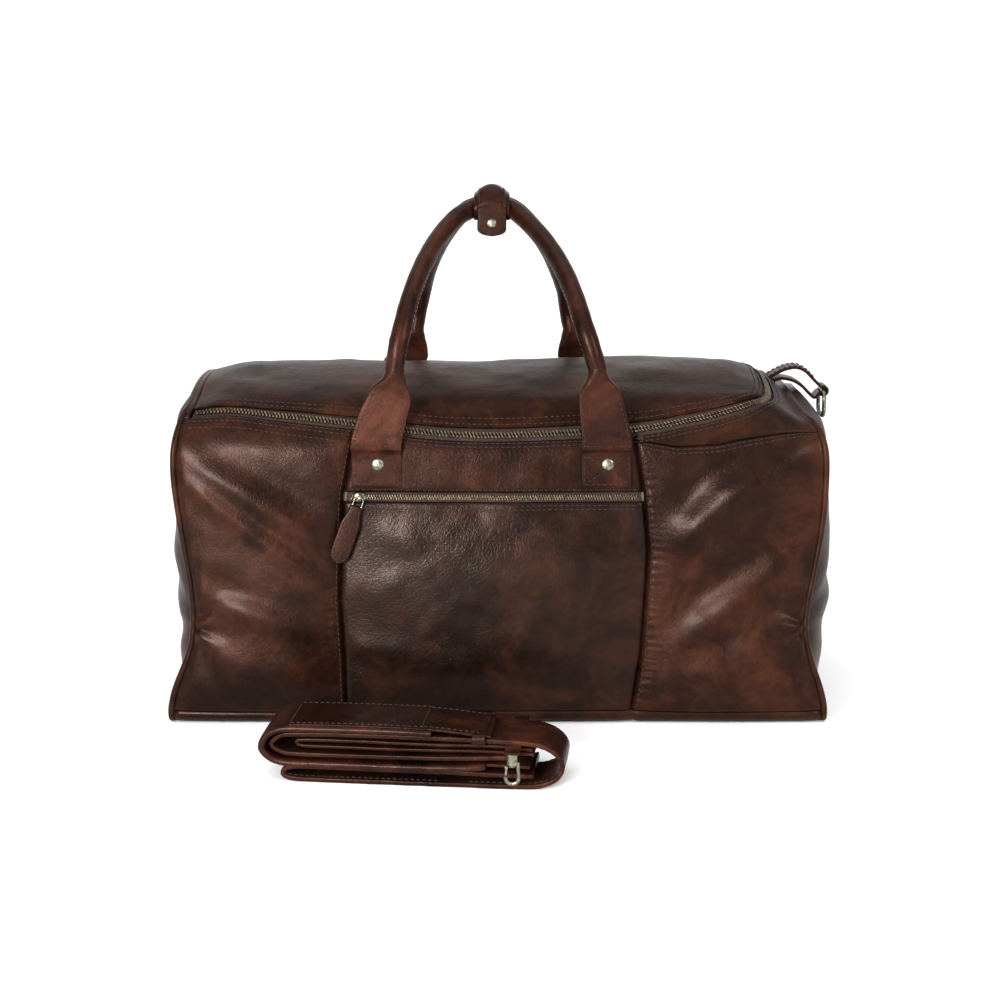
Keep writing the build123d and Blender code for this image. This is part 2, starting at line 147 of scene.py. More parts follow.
def section(s):
    """Point and outward normal (y, z, ny, nz) at a girth, before the leather sags."""
    s = np.asarray(s, float)
    a = np.abs(s)
    side = np.where(s < 0, -1.0, 1.0)
    crown = a / CROWN_R
    turn = CROWN_SWEEP + (a - S_CROWN) / SHOULDER_R
    foot = (a - S_WALL) / BASE_R
    round_x, round_z = np.cos(foot), np.sin(foot)
    square = (np.abs(round_x) ** FOOT_POWER + np.abs(round_z) ** FOOT_POWER) ** (-1 / FOOT_POWER)
    places = [a < S_CROWN, a < S_SHOULDER, a < S_WALL, a < S_BASE, a >= S_BASE]
    y = np.select(places, [CROWN_R * np.sin(crown), SHOULDER_Y + SHOULDER_R * np.sin(turn),
                           HALF_DEPTH + 0 * a, HALF_DEPTH - BASE_R + BASE_R * round_x * square, S_END - a])
    z = np.select(places, [CROWN_Z - CROWN_R * (1 - np.cos(crown)), SHOULDER_Z + SHOULDER_R * np.cos(turn),
                           SHOULDER_Z - (a - S_SHOULDER), BASE_R - BASE_R * round_z * square, 0 * a])
    ny = np.select(places, [np.sin(crown), np.sin(turn), 1 + 0 * a, np.cos(foot), 0 * a])
    nz = np.select(places, [np.cos(crown), np.cos(turn), 0 * a, -np.sin(foot), -1 + 0 * a])
    return side * y, z, side * ny, nz


def girth(z):
    """Girth of a height on the upright wall or the rounds beside it."""
    z = np.asarray(z, float)
    shoulder = S_CROWN + SHOULDER_R * (np.arccos(np.clip((z - SHOULDER_Z) / SHOULDER_R, -1, 1)) - CROWN_SWEEP)
    foot = S_WALL + BASE_R * np.arcsin(np.clip((BASE_R - z) / BASE_R, 0, 1))
    return np.where(z > SHOULDER_Z, shoulder, np.where(z > BASE_R, S_SHOULDER + SHOULDER_Z - z, foot))


TABLE_STEP = 2.0
TABLE_WINDOW = 15


def soft_table(places, values):
    """Values read off at places, joined and then smoothed, as a lookup function."""
    reach = np.arange(0, S_END + TABLE_STEP, TABLE_STEP)
    table = np.interp(reach, places, values)
    for _ in range(3):
        padded = np.pad(table, TABLE_WINDOW // 2, mode="edge")
        table = np.convolve(padded, np.ones(TABLE_WINDOW) / TABLE_WINDOW, mode="valid")
    return lambda s: np.interp(np.abs(s), reach, table)


def end_places(*heights):
    """Girths of four places on the crown, of heights down the wall, and of two places on the base."""
    return [0, 60, 86, 108] + [float(girth(z)) for z in heights] + [S_BASE + 8, S_END]


# how far each end seam is drawn in, from the middle of the crown down to the base
DRAWN_RIGHT = soft_table(end_places(255, 233, 179, 133, 88, 60, 22, 12),
                         [24, 23, 18, 13, 7, 3, 4, 11, 19, 14, -2, -4, 1, 8])
DRAWN_LEFT = soft_table(end_places(250, 220, 170, 115, 70, 40, 22, 12),
                        [13, 13, 13, 12, 5, 2, 8, 16.5, 16.5, 2, -6, -8, -3, 6])

# how far the two front seams wander in x, at heights from the base up
SHIFT_Z = [10, 60, 110, 150, 200, 250]
SHIFT_LEFT = [-1, -2, -4.5, -3, 0, 10]
SHIFT_RIGHT = [-19, -11, -8, -6, -11, -19.5]

# slanting folds of the two end panels of the front: height z at length x, slope, width, strength.
# They run down to the left on the right panel, and down to the right on the left one.
FOLDS_RIGHT = [(191, 190, 0.78, 20, 6.0), (124, 220, 0.84, 18, 3.6), (60, 200, 0.45, 13, 1.6)]
FOLDS_LEFT = [(196, 210, 0.55, 16, 3.0), (150, 180, 0.70, 9, 2.0), (96, 200, 0.30, 10, 1.5)]
WAIST_Z = 86               # where the end seams are drawn in most, and folds fan out


def seam_shift(x, s):
    """How the two front seams wander off their straight lines, shared out over the panels."""
    _, z, _, _ = section(s)
    a = np.abs(s)
    weight = (s < 0) * smooth(ZIP_S - 75, ZIP_S, a) * (1 - smooth(S_BASE - 5, S_BASE + 40, a))
    left = np.interp(z, SHIFT_Z, SHIFT_LEFT)
    right = np.interp(z, SHIFT_Z, SHIFT_RIGHT)
    outer = PIPING_X - SEAM_X
    middle = left + (right - left) * (x + SEAM_X) / (2 * SEAM_X)
    return weight * np.where(x < -SEAM_X, left * (x + PIPING_X) / outer,
                             np.where(x > SEAM_X, right * (PIPING_X - x) / outer, middle))


def fold(where, across, width, height):
    """A rounded ridge along the line across = 0, with a hollow beside it."""
    d = across / width
    return height * (np.exp(-d**2) - 0.75 * np.exp(-(d - 1.7) ** 2)) * where


def sag(x, s, y, z):
    """Height of the leather over its plain form: cushions, dents and folds."""
    a = np.abs(s)
    front = s < 0
    wall = smooth(S_CROWN + 20, S_SHOULDER + 30, a) * (1 - smooth(S_WALL - 30, S_BASE, a))
    middle = np.clip(1 - (x / SEAM_X) ** 2, 0, 1)
    sides = np.sin(np.clip((np.abs(x) - SEAM_X) / (PIPING_X - SEAM_X), 0, 1) * pi)
    back_middle = np.clip(1 - (x / PIPING_X) ** 2, 0, 1)
    lift = wall * np.where(front, 3.0 * middle + 6.5 * sides ** 0.8, 6 * back_middle)
    pocket = (1 - smooth(128, 200, z)) * smooth(8, 70, z)
    lift = lift + wall * front * 7.5 * middle * pocket
    lift = lift + bump(z, 60, 55) * wall * 3.0 * np.where(front, sides, back_middle)

    # lid: fuller to the right, sinking towards both ends
    lid = 1 - smooth(S_CROWN - 10, S_SHOULDER - 12, a)
    lift = lift + lid * (2.6 + 4.6 * bump(x, 130, 110) + 1.2 * bump(x, -130, 90))
    lift = lift - np.where(x > 0, 7.0, 3.0) * smooth(235, PIPING_X, np.abs(x)) * lid

    # broad soft dents, then shorter folds; calm under the handles' patches
    calm = 1 - 0.85 * bump(np.abs(x + 7), PATCH_X, 34) * bump(z, 232, 38)
    lift = lift + calm * 3.0 * noise(x, y, z, 95, 1) * (wall + 0.5 * lid) * smooth(4, 40, z)
    lift = lift + calm * 1.4 * noise(x + 0.5 * z, y, z * 1.6, 38, 2) * (wall + lid) * smooth(4, 30, z)
    lift = lift + calm * 0.35 * noise(x, y, z, 14, 3) * (wall + lid) * smooth(4, 30, z)

    # folds that fan out of the drawn-in waist of each end seam
    for side, strength in ((1, 0.55), (-1, 0.5)):
        dx = np.maximum(PIPING_X - 12 - side * x, 0)
        dz = z - WAIST_Z
        reach = np.exp(-np.hypot(dx, dz) / 42) * wall
        lift = lift + strength * 4.2 * reach * np.sin(np.arctan2(dz, dx + 12) * 7.5 + 0.8 * side)

    for over, folds in ((x, FOLDS_RIGHT), (-x, FOLDS_LEFT)):
        panel = smooth(SEAM_X + 4, SEAM_X + 46, over) * (1 - smooth(PIPING_X - 30, PIPING_X - 2, over))
        for fold_z, fold_x, slope, width, height in folds:
            line = z - fold_z - (over - fold_x) * slope
            lift = lift + fold(panel * wall * front, line, width, height)

    # the front seams pull in, and the leather outside them puckers
    seam = np.exp(-(np.abs(np.abs(x) - SEAM_X) / 2.6) ** 2) * front * (a > ZIP_S)
    beside = np.exp(-(np.abs(np.abs(x) - SEAM_X - 6) / 7) ** 2)
    pucker = 0.4 * np.sin(z * 0.95 + 2 * np.sin(z * 0.11)) * beside * front * wall
    return lift - 1.6 * seam + pucker


def skin(x, s, out=0.0):
    """Point of the sagging bag at length x and girth s, moved out along the normal. Arrays, mm."""
    x, s = np.broadcast_arrays(np.asarray(x, float), np.asarray(s, float))
    y, z, ny, nz = section(s)
    drawn = np.where(x > 0, DRAWN_RIGHT(s), DRAWN_LEFT(s))
    near_end = (np.abs(x) / PIPING_X) ** 7
    base = smooth(S_BASE - 4, S_BASE + 8, np.abs(s))
    height = sag(x, s, y, z) * (1 - base)
    height = height * (1 - 0.8 * smooth(PIPING_X - 10, PIPING_X, np.abs(x)))
    lift = height + out
    on_top = 1 - smooth(S_CROWN - 20, S_SHOULDER + 20, np.abs(s))
    top_dip = on_top * np.where(x > 0, 12 * smooth(200, PIPING_X, x), 4 * smooth(215, PIPING_X, -x))
    slump = 4.0 * bump(x, -10, 95) * bump(np.abs(s), ZIP_S, 26)
    along = x + seam_shift(x, s) - np.sign(x) * drawn * near_end
    return np.stack([along, y + ny * lift, np.maximum(z + nz * lift - top_dip - slump, 0.0)], axis=-1)


def skin_normal(x, s):
    """Direction square to the skin; its sign follows the two parameters, not the outside."""
    step = 1.5
    along = skin(np.asarray(x) + step, s) - skin(np.asarray(x) - step, s)
    around = skin(x, np.asarray(s) + step) - skin(x, np.asarray(s) - step)
    return unit(np.cross(along, around))


# ------------------------------------------------------------------ mesh helpers
def make(name, verts, faces, material, body, smooth_faces=True, weld=True):
    mesh = bpy.data.meshes.new(name)
    mesh.from_pydata([tuple(v) for v in np.asarray(verts) * MM], [], [tuple(int(i) for i in f) for f in faces])
    mesh.materials.append(material)
    if weld:
        work = bmesh.new()
        work.from_mesh(mesh)
        bmesh.ops.remove_doubles(work, verts=work.verts, dist=2e-6)
        bmesh.ops.recalc_face_normals(work, faces=work.faces)
        work.to_mesh(mesh)
        work.free()
    for polygon in mesh.polygons:
        polygon.use_smooth = smooth_faces
    obj = bpy.data.objects.new(name, mesh)
    bpy.context.collection.objects.link(obj)
    if body:
        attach(obj, body)
    return obj


def grid_faces(rows, columns, wrap_rows=False, wrap_columns=False, offset=0):
    faces = []
    for i in range(rows if wrap_rows else rows - 1):
        for j in range(columns if wrap_columns else columns - 1):
            a, b = i * columns + j, i * columns + (j + 1) % columns
            c, d = ((i + 1) % rows) * columns + (j + 1) % columns, ((i + 1) % rows) * columns + j
            faces.append((a + offset, b + offset, c + offset, d + offset))
    return faces


def end_caps(rings, around):
    """The two end faces of a tube made of rings."""
    last = (rings - 1) * around
    return [tuple(range(around))[::-1], tuple(range(last, last + around))]


def slab_from_grid(name, outer, inner, material, body):
    """A closed leather sheet from matching grids of outer and inner points."""
    rows, columns = outer.shape[:2]
    count = rows * columns
    verts = np.concatenate([outer.reshape(-1, 3), inner.reshape(-1, 3)])
    faces = grid_faces(rows, columns)
    faces += [tuple(i + count for i in reversed(f)) for f in grid_faces(rows, columns)]
    rim = list(range(columns))
    rim += [i * columns + columns - 1 for i in range(1, rows)]
    rim += [(rows - 1) * columns + j for j in range(columns - 2, -1, -1)]
    rim += [i * columns for i in range(rows - 2, 0, -1)]
    for a, b in zip(rim, rim[1:] + rim[:1]):
        faces.append((b, a, a + count, b + count))
    return make(name, verts, faces, material, body)


LEATHER = 2.4


def leather_sheet(name, xs, ss, material, body, edge_roll=1.1):
    """A panel lying on the skin. xs and ss are matching grids; its edges round over."""
    rows, columns = xs.shape
    i = np.minimum(np.arange(rows), np.arange(rows)[::-1])[:, None]
    j = np.minimum(np.arange(columns), np.arange(columns)[::-1])[None, :]
    edge = np.minimum(np.minimum(i, j), 2)
    roll = np.array([edge_roll, edge_roll * 0.25, 0.0])[edge]
    return slab_from_grid(name, skin(xs, ss, -roll), skin(xs, ss, -LEATHER), material, body)


def cloth_sheet(name, xs, ss, depth, thick, material, body):
    """A thin sheet that lies a given depth under the skin."""
    return slab_from_grid(name, skin(xs, ss, -depth), skin(xs, ss, -(depth + thick)), material, body)


def frames_along(points, closed=False):
    """Tangent and two cross vectors along a path, carried without twist."""
    points = np.asarray(points, float)
    if closed:
        tangents = np.roll(points, -1, 0) - np.roll(points, 1, 0)
    else:
        tangents = np.gradient(points, axis=0)
    tangents /= np.linalg.norm(tangents, axis=1, keepdims=True)
    first = np.cross(tangents[0], (0, 1, 0))
    if np.linalg.norm(first) < 0.3:
        first = np.cross(tangents[0], (0, 0, 1))
    side = first / np.linalg.norm(first)
    sides = []
    for tangent in tangents:
        side = side - tangent * np.dot(side, tangent)
        side = side / np.linalg.norm(side)
        sides.append(side)
    sides = np.array(sides)
    return tangents, sides, np.cross(tangents, sides)


def tube(name, points, radius, material, body, closed=False, around=14):
    points = np.asarray(points, float)
    radius = np.broadcast_to(np.asarray(radius, float), (len(points),))
    _, sides, ups = frames_along(points, closed)
    angles = np.linspace(0, 2 * pi, around, endpoint=False)
    rings = (points[:, None] + radius[:, None, None] * (np.cos(angles)[None, :, None] * sides[:, None]
             + np.sin(angles)[None, :, None] * ups[:, None]))
    faces = grid_faces(len(points), around, wrap_rows=closed, wrap_columns=True)
    if not closed:
        faces += end_caps(len(points), around)
    return make(name, rings.reshape(-1, 3), faces, material, body)


def resample(points, spacing=None, count=None):
    """Points spaced evenly along a path."""
    points = np.asarray(points, float)
    lengths = lengths_along(points)
    number = count or max(2, int(round(lengths[-1] / spacing)) + 1)
    wanted = np.linspace(0, lengths[-1], number)
    return np.stack([np.interp(wanted, lengths, points[:, k]) for k in range(points.shape[1])], axis=1)


def curve_through(points, count):
    """A smooth path through given points (Catmull-Rom)."""
    p = np.asarray(points, float)
    p = np.concatenate([[2 * p[0] - p[1]], p, [2 * p[-1] - p[-2]]])
    result = []
    for a, b, c, d in zip(p, p[1:], p[2:], p[3:]):
        for t in np.linspace(0, 1, 24, endpoint=False):
            result.append(0.5 * ((2 * b) + (c - a) * t + (2 * a - 5 * b + 4 * c - d) * t**2
                                 + (3 * b - a - 3 * c + d) * t**3))
    result.append(p[-2])
    return resample(result, count=count)


STITCH_LONG = 3.3
STITCH_GAP = 1.3
STITCH_R = 0.42
STITCH_SIDES = 6

# one stitch from hole to hole: shares of its length, how far it stands off the leather, its radius
STITCH_MARKS = STITCH_LONG * np.array([0.0, 0.12, 0.5, 0.88, 1.0])
STITCH_LIFT = np.array([-0.45, 0.12, 0.3, 0.12, -0.45])
STITCH_SIZE = np.array([0.5, 0.95, 1.0, 0.95, 0.5]) * STITCH_R


class Stitches:
    """Collects runs of thread that ride on one body and makes one piece of them."""

    def __init__(self, name, body, material):
        self.name, self.body, self.material = name, body, material
        self.verts, self.faces = [], []

    def run(self, points, normals):
        """Stitches along a path; normals point away from the leather they lie on."""
        points = np.asarray(points, float)
        lengths = lengths_along(points)
        angles = np.linspace(0, 2 * pi, STITCH_SIDES, endpoint=False)
        for start in np.arange(STITCH_GAP, lengths[-1] - STITCH_LONG, STITCH_LONG + STITCH_GAP):
            marks = start + STITCH_MARKS
            centre = np.stack([np.interp(marks, lengths, points[:, k]) for k in range(3)], axis=1)
            up = np.array([np.interp(start, lengths, normals[:, k]) for k in range(3)])
            up /= np.linalg.norm(up)
            along = centre[-1] - centre[0]
            along /= np.linalg.norm(along)
            side = np.cross(along, up)
            base = len(self.verts)
            for middle, lift, size in zip(centre, STITCH_LIFT, STITCH_SIZE):
                for angle in angles:
                    self.verts.append(middle + up * (lift + size * sin(angle)) + side * size * cos(angle))
            self.faces += grid_faces(len(marks), STITCH_SIDES, wrap_columns=True, offset=base)
            self.faces += [tuple(base + n for n in cap) for cap in end_caps(len(marks), STITCH_SIDES)]

    def skin_run(self, xs, ss):
        """A run on the skin along matching lengths and girths."""
        xs, ss = (np.asarray(v, float) for v in np.broadcast_arrays(xs, ss))
        self.run(skin(xs, ss), skin_normal(xs, ss) * self.outward(xs, ss))

    @staticmethod
    def outward(xs, ss):
        """Sign that turns skin_normal to the outside."""
        _, _, ny, nz = section(ss)
        n = skin_normal(xs, ss)
        return np.sign(n[..., 1] * ny + n[..., 2] * nz)[..., None]

    def finish(self):
        return make(self.name, self.verts, self.faces, self.material, self.body, weld=False)


# ------------------------------------------------------------------ materials
class Nodes:
    """Short names for building a node material."""

    def __init__(self, name):
        self.material = bpy.data.materials.new(name)
        self.material.use_nodes = True
        self.tree = self.material.node_tree
        self.shader = self.tree.nodes["Principled BSDF"]
        self.coords = self.tree.nodes.new("ShaderNodeTexCoord").outputs["Object"]

    def link(self, a, b):
        self.tree.links.new(a, b)

    def feed(self, socket, value):
        """Set a socket to a number or a colour, or link it to another node's output."""
        if isinstance(value, (int, float)):
            socket.default_value = value
        elif isinstance(value, tuple):
            socket.default_value = (*value, 1)
        else:
            self.link(value, socket)

    def texture(self, kind, scale, stretch):
        """A texture node of features per metre, on object coordinates stretched along the axes."""
        mapping = self.tree.nodes.new("ShaderNodeMapping")
        mapping.inputs["Scale"].default_value = stretch
        self.link(self.coords, mapping.inputs["Vector"])
        node = self.tree.nodes.new(kind)
        node.inputs["Scale"].default_value = scale
        self.link(mapping.outputs[0], node.inputs["Vector"])
        return node

    def noise(self, scale, detail=4.0, rough=0.55, stretch=(1, 1, 1), distort=0.0):
        node = self.texture("ShaderNodeTexNoise", scale, stretch)
        for name, value in (("Detail", detail), ("Roughness", rough), ("Distortion", distort)):
            node.inputs[name].default_value = value
        return node.outputs["Fac"]

    def cells(self, scale, feature="F1", stretch=(1, 1, 1)):
        node = self.texture("ShaderNodeTexVoronoi", scale, stretch)
        node.feature = feature
        return node.outputs["Distance"]

    def ramp(self, value, *stops):
        node = self.tree.nodes.new("ShaderNodeValToRGB")
        elements = node.color_ramp.elements
        while len(elements) < len(stops):
            elements.new(0.5)
        for element, (place, colour) in zip(elements, stops):
            element.position = place
            if isinstance(colour, (int, float)):
                colour = (colour,) * 3
            element.color = (*colour, 1)
        self.link(value, node.inputs["Fac"])
        return node.outputs["Color"]

    def mix(self, factor, a, b, kind="MIX"):
        node = self.tree.nodes.new("ShaderNodeMix")
        node.data_type = "RGBA"
        node.blend_type = kind
        for socket, value in ((node.inputs[0], factor), (node.inputs[6], a), (node.inputs[7], b)):
            self.feed(socket, value)
        return node.outputs[2]

    def maths(self, kind, a, b):
        node = self.tree.nodes.new("ShaderNodeMath")
        node.operation = kind
        for socket, value in zip(node.inputs, (a, b)):
            self.feed(socket, value)
        return node.outputs[0]

    def bump(self, height, distance, strength, under=None):
        node = self.tree.nodes.new("ShaderNodeBump")
        node.inputs["Distance"].default_value = distance
        node.inputs["Strength"].default_value = strength
        self.link(height, node.inputs["Height"])
        if under is not None:
            self.link(under, node.inputs["Normal"])
        return node.outputs["Normal"]


def leather(name, dark, mid, light, mottle=1.0, gloss=0.34, shine=0.16, coat=0.04, tint=(1.0, 0.62, 0.50)):
    """Waxed pull-up leather: dark wax pools, warmer rubbed patches, fine grain and creases."""
    n = Nodes(name)
    broad = n.noise(7, 4, 0.55, distort=0.5)
    patches = n.noise(22, 8, 0.68, distort=0.8)
    fine = n.noise(150, 5, 0.7)
    tone = n.maths("ADD", n.maths("MULTIPLY", broad, 0.45), n.maths("MULTIPLY", patches, 0.55))
    colour = n.ramp(tone, (0.40, dark), (0.50, mid), (0.63, light))
    rubbed = n.ramp(n.noise(34, 9, 0.75, stretch=(1, 1, 0.55), distort=0.7), (0.55, 0.0), (0.70, 1.0))
    colour = n.mix(n.maths("MULTIPLY", rubbed, 0.5 * mottle), colour, light)
    scuffs = n.ramp(n.noise(75, 9, 0.8, stretch=(0.4, 0.4, 1.5), distort=1.0), (0.60, 0.0), (0.74, 1.0))
    scuffed = tuple(min(1.0, v * 1.7) for v in light)
    colour = n.mix(n.maths("MULTIPLY", scuffs, 0.35 * mottle), colour, scuffed)
    colour = n.mix(1.0, colour, n.ramp(fine, (0.32, 0.72), (0.68, 1.2)), "MULTIPLY")
    n.link(colour, n.shader.inputs["Base Color"])
    rough = n.ramp(n.maths("ADD", n.maths("MULTIPLY", broad, 0.5), n.maths("MULTIPLY", fine, 0.5)),
                   (0.35, gloss - 0.06), (0.7, gloss + 0.15))
    n.link(rough, n.shader.inputs["Roughness"])
    creases = n.ramp(n.cells(240, "DISTANCE_TO_EDGE", (1, 1, 0.85)), (0.0, 0.0), (0.14, 1.0))
    under = n.bump(patches, 0.004, 0.09)
    under = n.bump(n.noise(60, 5, 0.6), 0.0012, 0.22, under)
    under = n.bump(creases, 0.0003, 0.22, under)
    n.link(n.bump(n.cells(850), 0.0003, 0.30, under), n.shader.inputs["Normal"])
    for name, value in (("Specular IOR Level", shine), ("Specular Tint", tint), ("Coat Weight", coat),
                        ("Coat Roughness", 0.2)):
        n.feed(n.shader.inputs[name], value)
    return n.material


def metal(name, bright, dark, roughness=0.34):
    n = Nodes(name)
    wear = n.noise(420, 4, 0.6)
    n.link(n.ramp(wear, (0.35, dark), (0.62, bright)), n.shader.inputs["Base Color"])
    n.link(n.ramp(n.noise(700, 3, 0.6), (0.3, roughness - 0.08), (0.7, roughness + 0.14)),
           n.shader.inputs["Roughness"])
    n.shader.inputs["Metallic"].default_value = 1.0
    n.link(n.bump(wear, 0.0002, 0.25), n.shader.inputs["Normal"])
    return n.material


def cloth(name, dark, light, threads=520.0, rough=0.85, sheen=0.0):
    """Plain weave: short uneven runs of yarn, upright and level, with a soft cloudy tone."""
    n = Nodes(name)
    warp = n.noise(threads, 2, 0.5, stretch=(1, 1, 0.2))
    weft = n.noise(threads, 2, 0.5, stretch=(0.2, 0.2, 1))
    weave = n.maths("ADD", n.maths("MULTIPLY", warp, 0.5), n.maths("MULTIPLY", weft, 0.5))
    colour = n.ramp(weave, (0.34, dark), (0.64, light))
    colour = n.mix(1.0, colour, n.ramp(n.noise(11, 4, 0.6), (0.3, 0.82), (0.7, 1.12)), "MULTIPLY")
    n.link(colour, n.shader.inputs["Base Color"])
    n.link(n.ramp(n.noise(60), (0.3, rough - 0.08), (0.7, rough + 0.08)), n.shader.inputs["Roughness"])
    n.link(n.bump(weave, 0.0004, 0.5), n.shader.inputs["Normal"])
    n.shader.inputs["Sheen Weight"].default_value = sheen
    return n.material


# leathers: dark, middle and light tone, then mottle, gloss, shine, coat and the tint of the shine
SHELL = leather("shell_leather", (0.0038, 0.0013, 0.0008), (0.0118, 0.0038, 0.0020), (0.036, 0.0120, 0.0054))
# pocket leather: the shell leather's colours darkened to paint in the shade the pocket panel falls in (painted
# shade); its lower roughness and stronger shine are the leather's own
POCKET_SHADED_LEATHER = leather("pocket_leather_painted_shade", (0.0022, 0.0008, 0.0005), (0.0062, 0.0020, 0.0011), (0.022, 0.0072, 0.0032),
                 0.8, 0.31, 0.19, 0.045, (1.0, 0.72, 0.61))
# lid leather: the shell leather's colours made about a third lighter to paint in the light falling on the bag's
# top (painted light), with less shine
LID_LIT_LEATHER = leather("lid_leather_painted_light", (0.0056, 0.0018, 0.0010), (0.0160, 0.0052, 0.0026), (0.048, 0.0160, 0.0070),
              1.0, 0.36, 0.09, 0.02)
TRIM = leather("trim_leather", (0.0052, 0.0018, 0.0010), (0.0160, 0.0054, 0.0030), (0.044, 0.0150, 0.0072),
               0.9, 0.34)
STRAP = leather("strap_leather", (0.0058, 0.0018, 0.0011), (0.0180, 0.0056, 0.0034), (0.054, 0.0170, 0.0092),
                1.0, 0.33)
THREAD = cloth("thread", (0.008, 0.0034, 0.0020), (0.028, 0.0125, 0.0072), 1300, 0.7)
TAPE = cloth("zip_tape", (0.010, 0.0045, 0.0030), (0.034, 0.0150, 0.0092), 1100, 0.85)
LINING = cloth("lining_cloth", (0.060, 0.043, 0.031), (0.125, 0.092, 0.067), sheen=0.2)
ROPE = cloth("rope_core", (0.30, 0.26, 0.20), (0.55, 0.48, 0.38))
ZIP_METAL = metal("zip_metal", (0.22, 0.165, 0.11), (0.055, 0.041, 0.027), 0.34)
HARDWARE = metal("hardware", (0.26, 0.255, 0.20), (0.085, 0.080, 0.058), 0.33)


def board(name):
    n = Nodes(name)
    tone = n.ramp(n.noise(80), (0.3, (0.03, 0.03, 0.03)), (0.7, (0.06, 0.055, 0.05)))
    n.link(tone, n.shader.inputs["Base Color"])
    n.shader.inputs["Roughness"].default_value = 0.8
    return n.material


BOARD = board("base_board")

SLOT_MATERIAL = {
    "shell_leather": SHELL, "trim_leather": TRIM, "strap_leather": STRAP, "lining_cloth": LINING,
    "rope_core": ROPE, "base_board": BOARD, "zip_tape": TAPE, "zip_metal": ZIP_METAL, "hardware": HARDWARE,
}
for part in frame["record"]["subparts"]:   # the CAD shapes that stay visible
    node = frame["nodes"][part["node"]]
    node.data.materials.clear()
    node.data.materials.append(SLOT_MATERIAL[part["material_slot"]])


# ------------------------------------------------------------------ the zip's line in (x, girth)
def unshift(x, s):
    """Length on the skin that lies at a wanted x once the seams have wandered."""
    guess = float(x)
    for _ in range(12):
        guess = float(x) - float(seam_shift(np.array(guess), np.array(s)))
    return guess


# the zip's middle line: length x, and how far it lies above the girth ZIP_S, from left to right
ZIP_CORNER = [(155, 9), (180, 14.5), (203, 22), (219, 33.5), (230, 46), (236, 69), (238, 100), (238.5, ZIP_S)]
ZIP_FRONT = [(-262, 21), (-220, 19.5), (-172, 13), (-100, 5), (-40, 0.5), (60, 0), (115, 2)] + ZIP_CORNER
ZIP_REAR = [(-262, 0), (-220, 0), (-150, 0), (-60, 0), (60, 0), (115, 2)] + ZIP_CORNER


def outline(points, facing):
    """Half of the zip, from its left end to its furthest point on the right."""
    placed = [(unshift(x, facing * (ZIP_S - up)), facing * (ZIP_S - up)) for x, up in points]
    return curve_through(placed, 700)


ZIP_CENTRE = np.concatenate([outline(ZIP_FRONT, -1), outline(ZIP_REAR, 1)[-2::-1]])
ZIP_TANGENT = np.gradient(ZIP_CENTRE, axis=0)
ZIP_TANGENT /= np.linalg.norm(ZIP_TANGENT, axis=1, keepdims=True)
ZIP_OUTWARD = np.stack([ZIP_TANGENT[:, 1], -ZIP_TANGENT[:, 0]], axis=1)


def zip_line(outset, count=420):
    """(x, girth) along the zip, front left to back left, moved outwards on the skin."""
    return resample(ZIP_CENTRE + ZIP_OUTWARD * outset, count=count)


def zip_half(outset, facing):
    """One half of an offset zip line as rising lengths and their girths."""
    line = ZIP_CENTRE + ZIP_OUTWARD * outset
    half = line[line[:, 1] * facing > 0]
    return half if facing < 0 else half[::-1]


# ------------------------------------------------------------------ shell panels
def sheet_grid(x_range, top, bottom, columns, rows):
    """Grids of x and girth between two girth lines given as functions of x."""
    x = np.linspace(*x_range, columns)
    v = np.linspace(0, 1, rows)[:, None]
    return np.broadcast_to(x, (rows, columns)), top(x)[None] * (1 - v) + bottom(x)[None] * v


LOWER_FRONT = zip_half(ZIP_SLOT, -1)
LOWER_REAR = zip_half(ZIP_SLOT, 1)

# seam between the right front panel and the top gusset
GUSSET_X = [130, 160, 190, 220, 250, 272]
GUSSET_Z = [246.0, 240.0, 241.5, 248.0, 255.0, 258.0]


def zip_edge(x):
    return np.interp(x, LOWER_FRONT[:, 0], LOWER_FRONT[:, 1])


def rear_edge(x):
    return np.interp(x, LOWER_REAR[:, 0], LOWER_REAR[:, 1])


def gusset_edge(x):
    """Girth of the seam under the gusset, on the front."""
    return -girth(np.interp(x, GUSSET_X, GUSSET_Z))


def level(z):
    return lambda x: -girth(z) + 0 * x


HALF_GAP = 0.25
PANEL_END = SKIN_END + 1


def front_panels():
    middle = (-SEAM_X + HALF_GAP, SEAM_X - HALF_GAP)
    base = level(BASE_SEAM_Z)
    plan = [
        ("front_panel_left", (-PANEL_END, -SEAM_X - HALF_GAP), zip_edge, base, 70, 110),
        ("front_yoke", middle, zip_edge, level(YOKE_LOW_Z), 120, 26),
        ("pocket_panel", middle, level(POCKET_TOP_Z), base, 120, 90),
        ("front_panel_right", (SEAM_X + HALF_GAP, PANEL_END), gusset_edge, base, 90, 110),
    ]
    for name, span, top, bottom, columns, rows in plan:
        xs, ss = sheet_grid(span, top, bottom, columns, rows)
        # the pocket panel takes the darker leather, whose extra darkness is painted shade
        panel = leather_sheet(f"{name}_skin", xs, ss, POCKET_SHADED_LEATHER if name == "pocket_panel" else SHELL, "bag")
        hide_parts(name)


def back_and_base():
    def back_top(x):
        by_gusset = np.maximum(rear_edge(np.minimum(x, SEAM_X)), -gusset_edge(x))
        return np.where(x < SEAM_X, rear_edge(x), by_gusset)

    seam = girth(BASE_SEAM_Z)
    xs, ss = sheet_grid((-PANEL_END, PANEL_END), back_top, lambda x: seam + 0 * x, 180, 100)
    panel = leather_sheet("back_panel_skin", xs, ss, SHELL, "bag")
    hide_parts("back_panel")

    around = np.concatenate([-np.linspace(seam, S_END, 30), np.linspace(S_END, seam, 30)[1:]])
    xs, ss = np.meshgrid(np.linspace(-PANEL_END, PANEL_END, 120), around)
    base = leather_sheet("bottom_panel_skin", xs, ss, SHELL, "bag", edge_roll=0.6)
    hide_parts("bottom_panel")


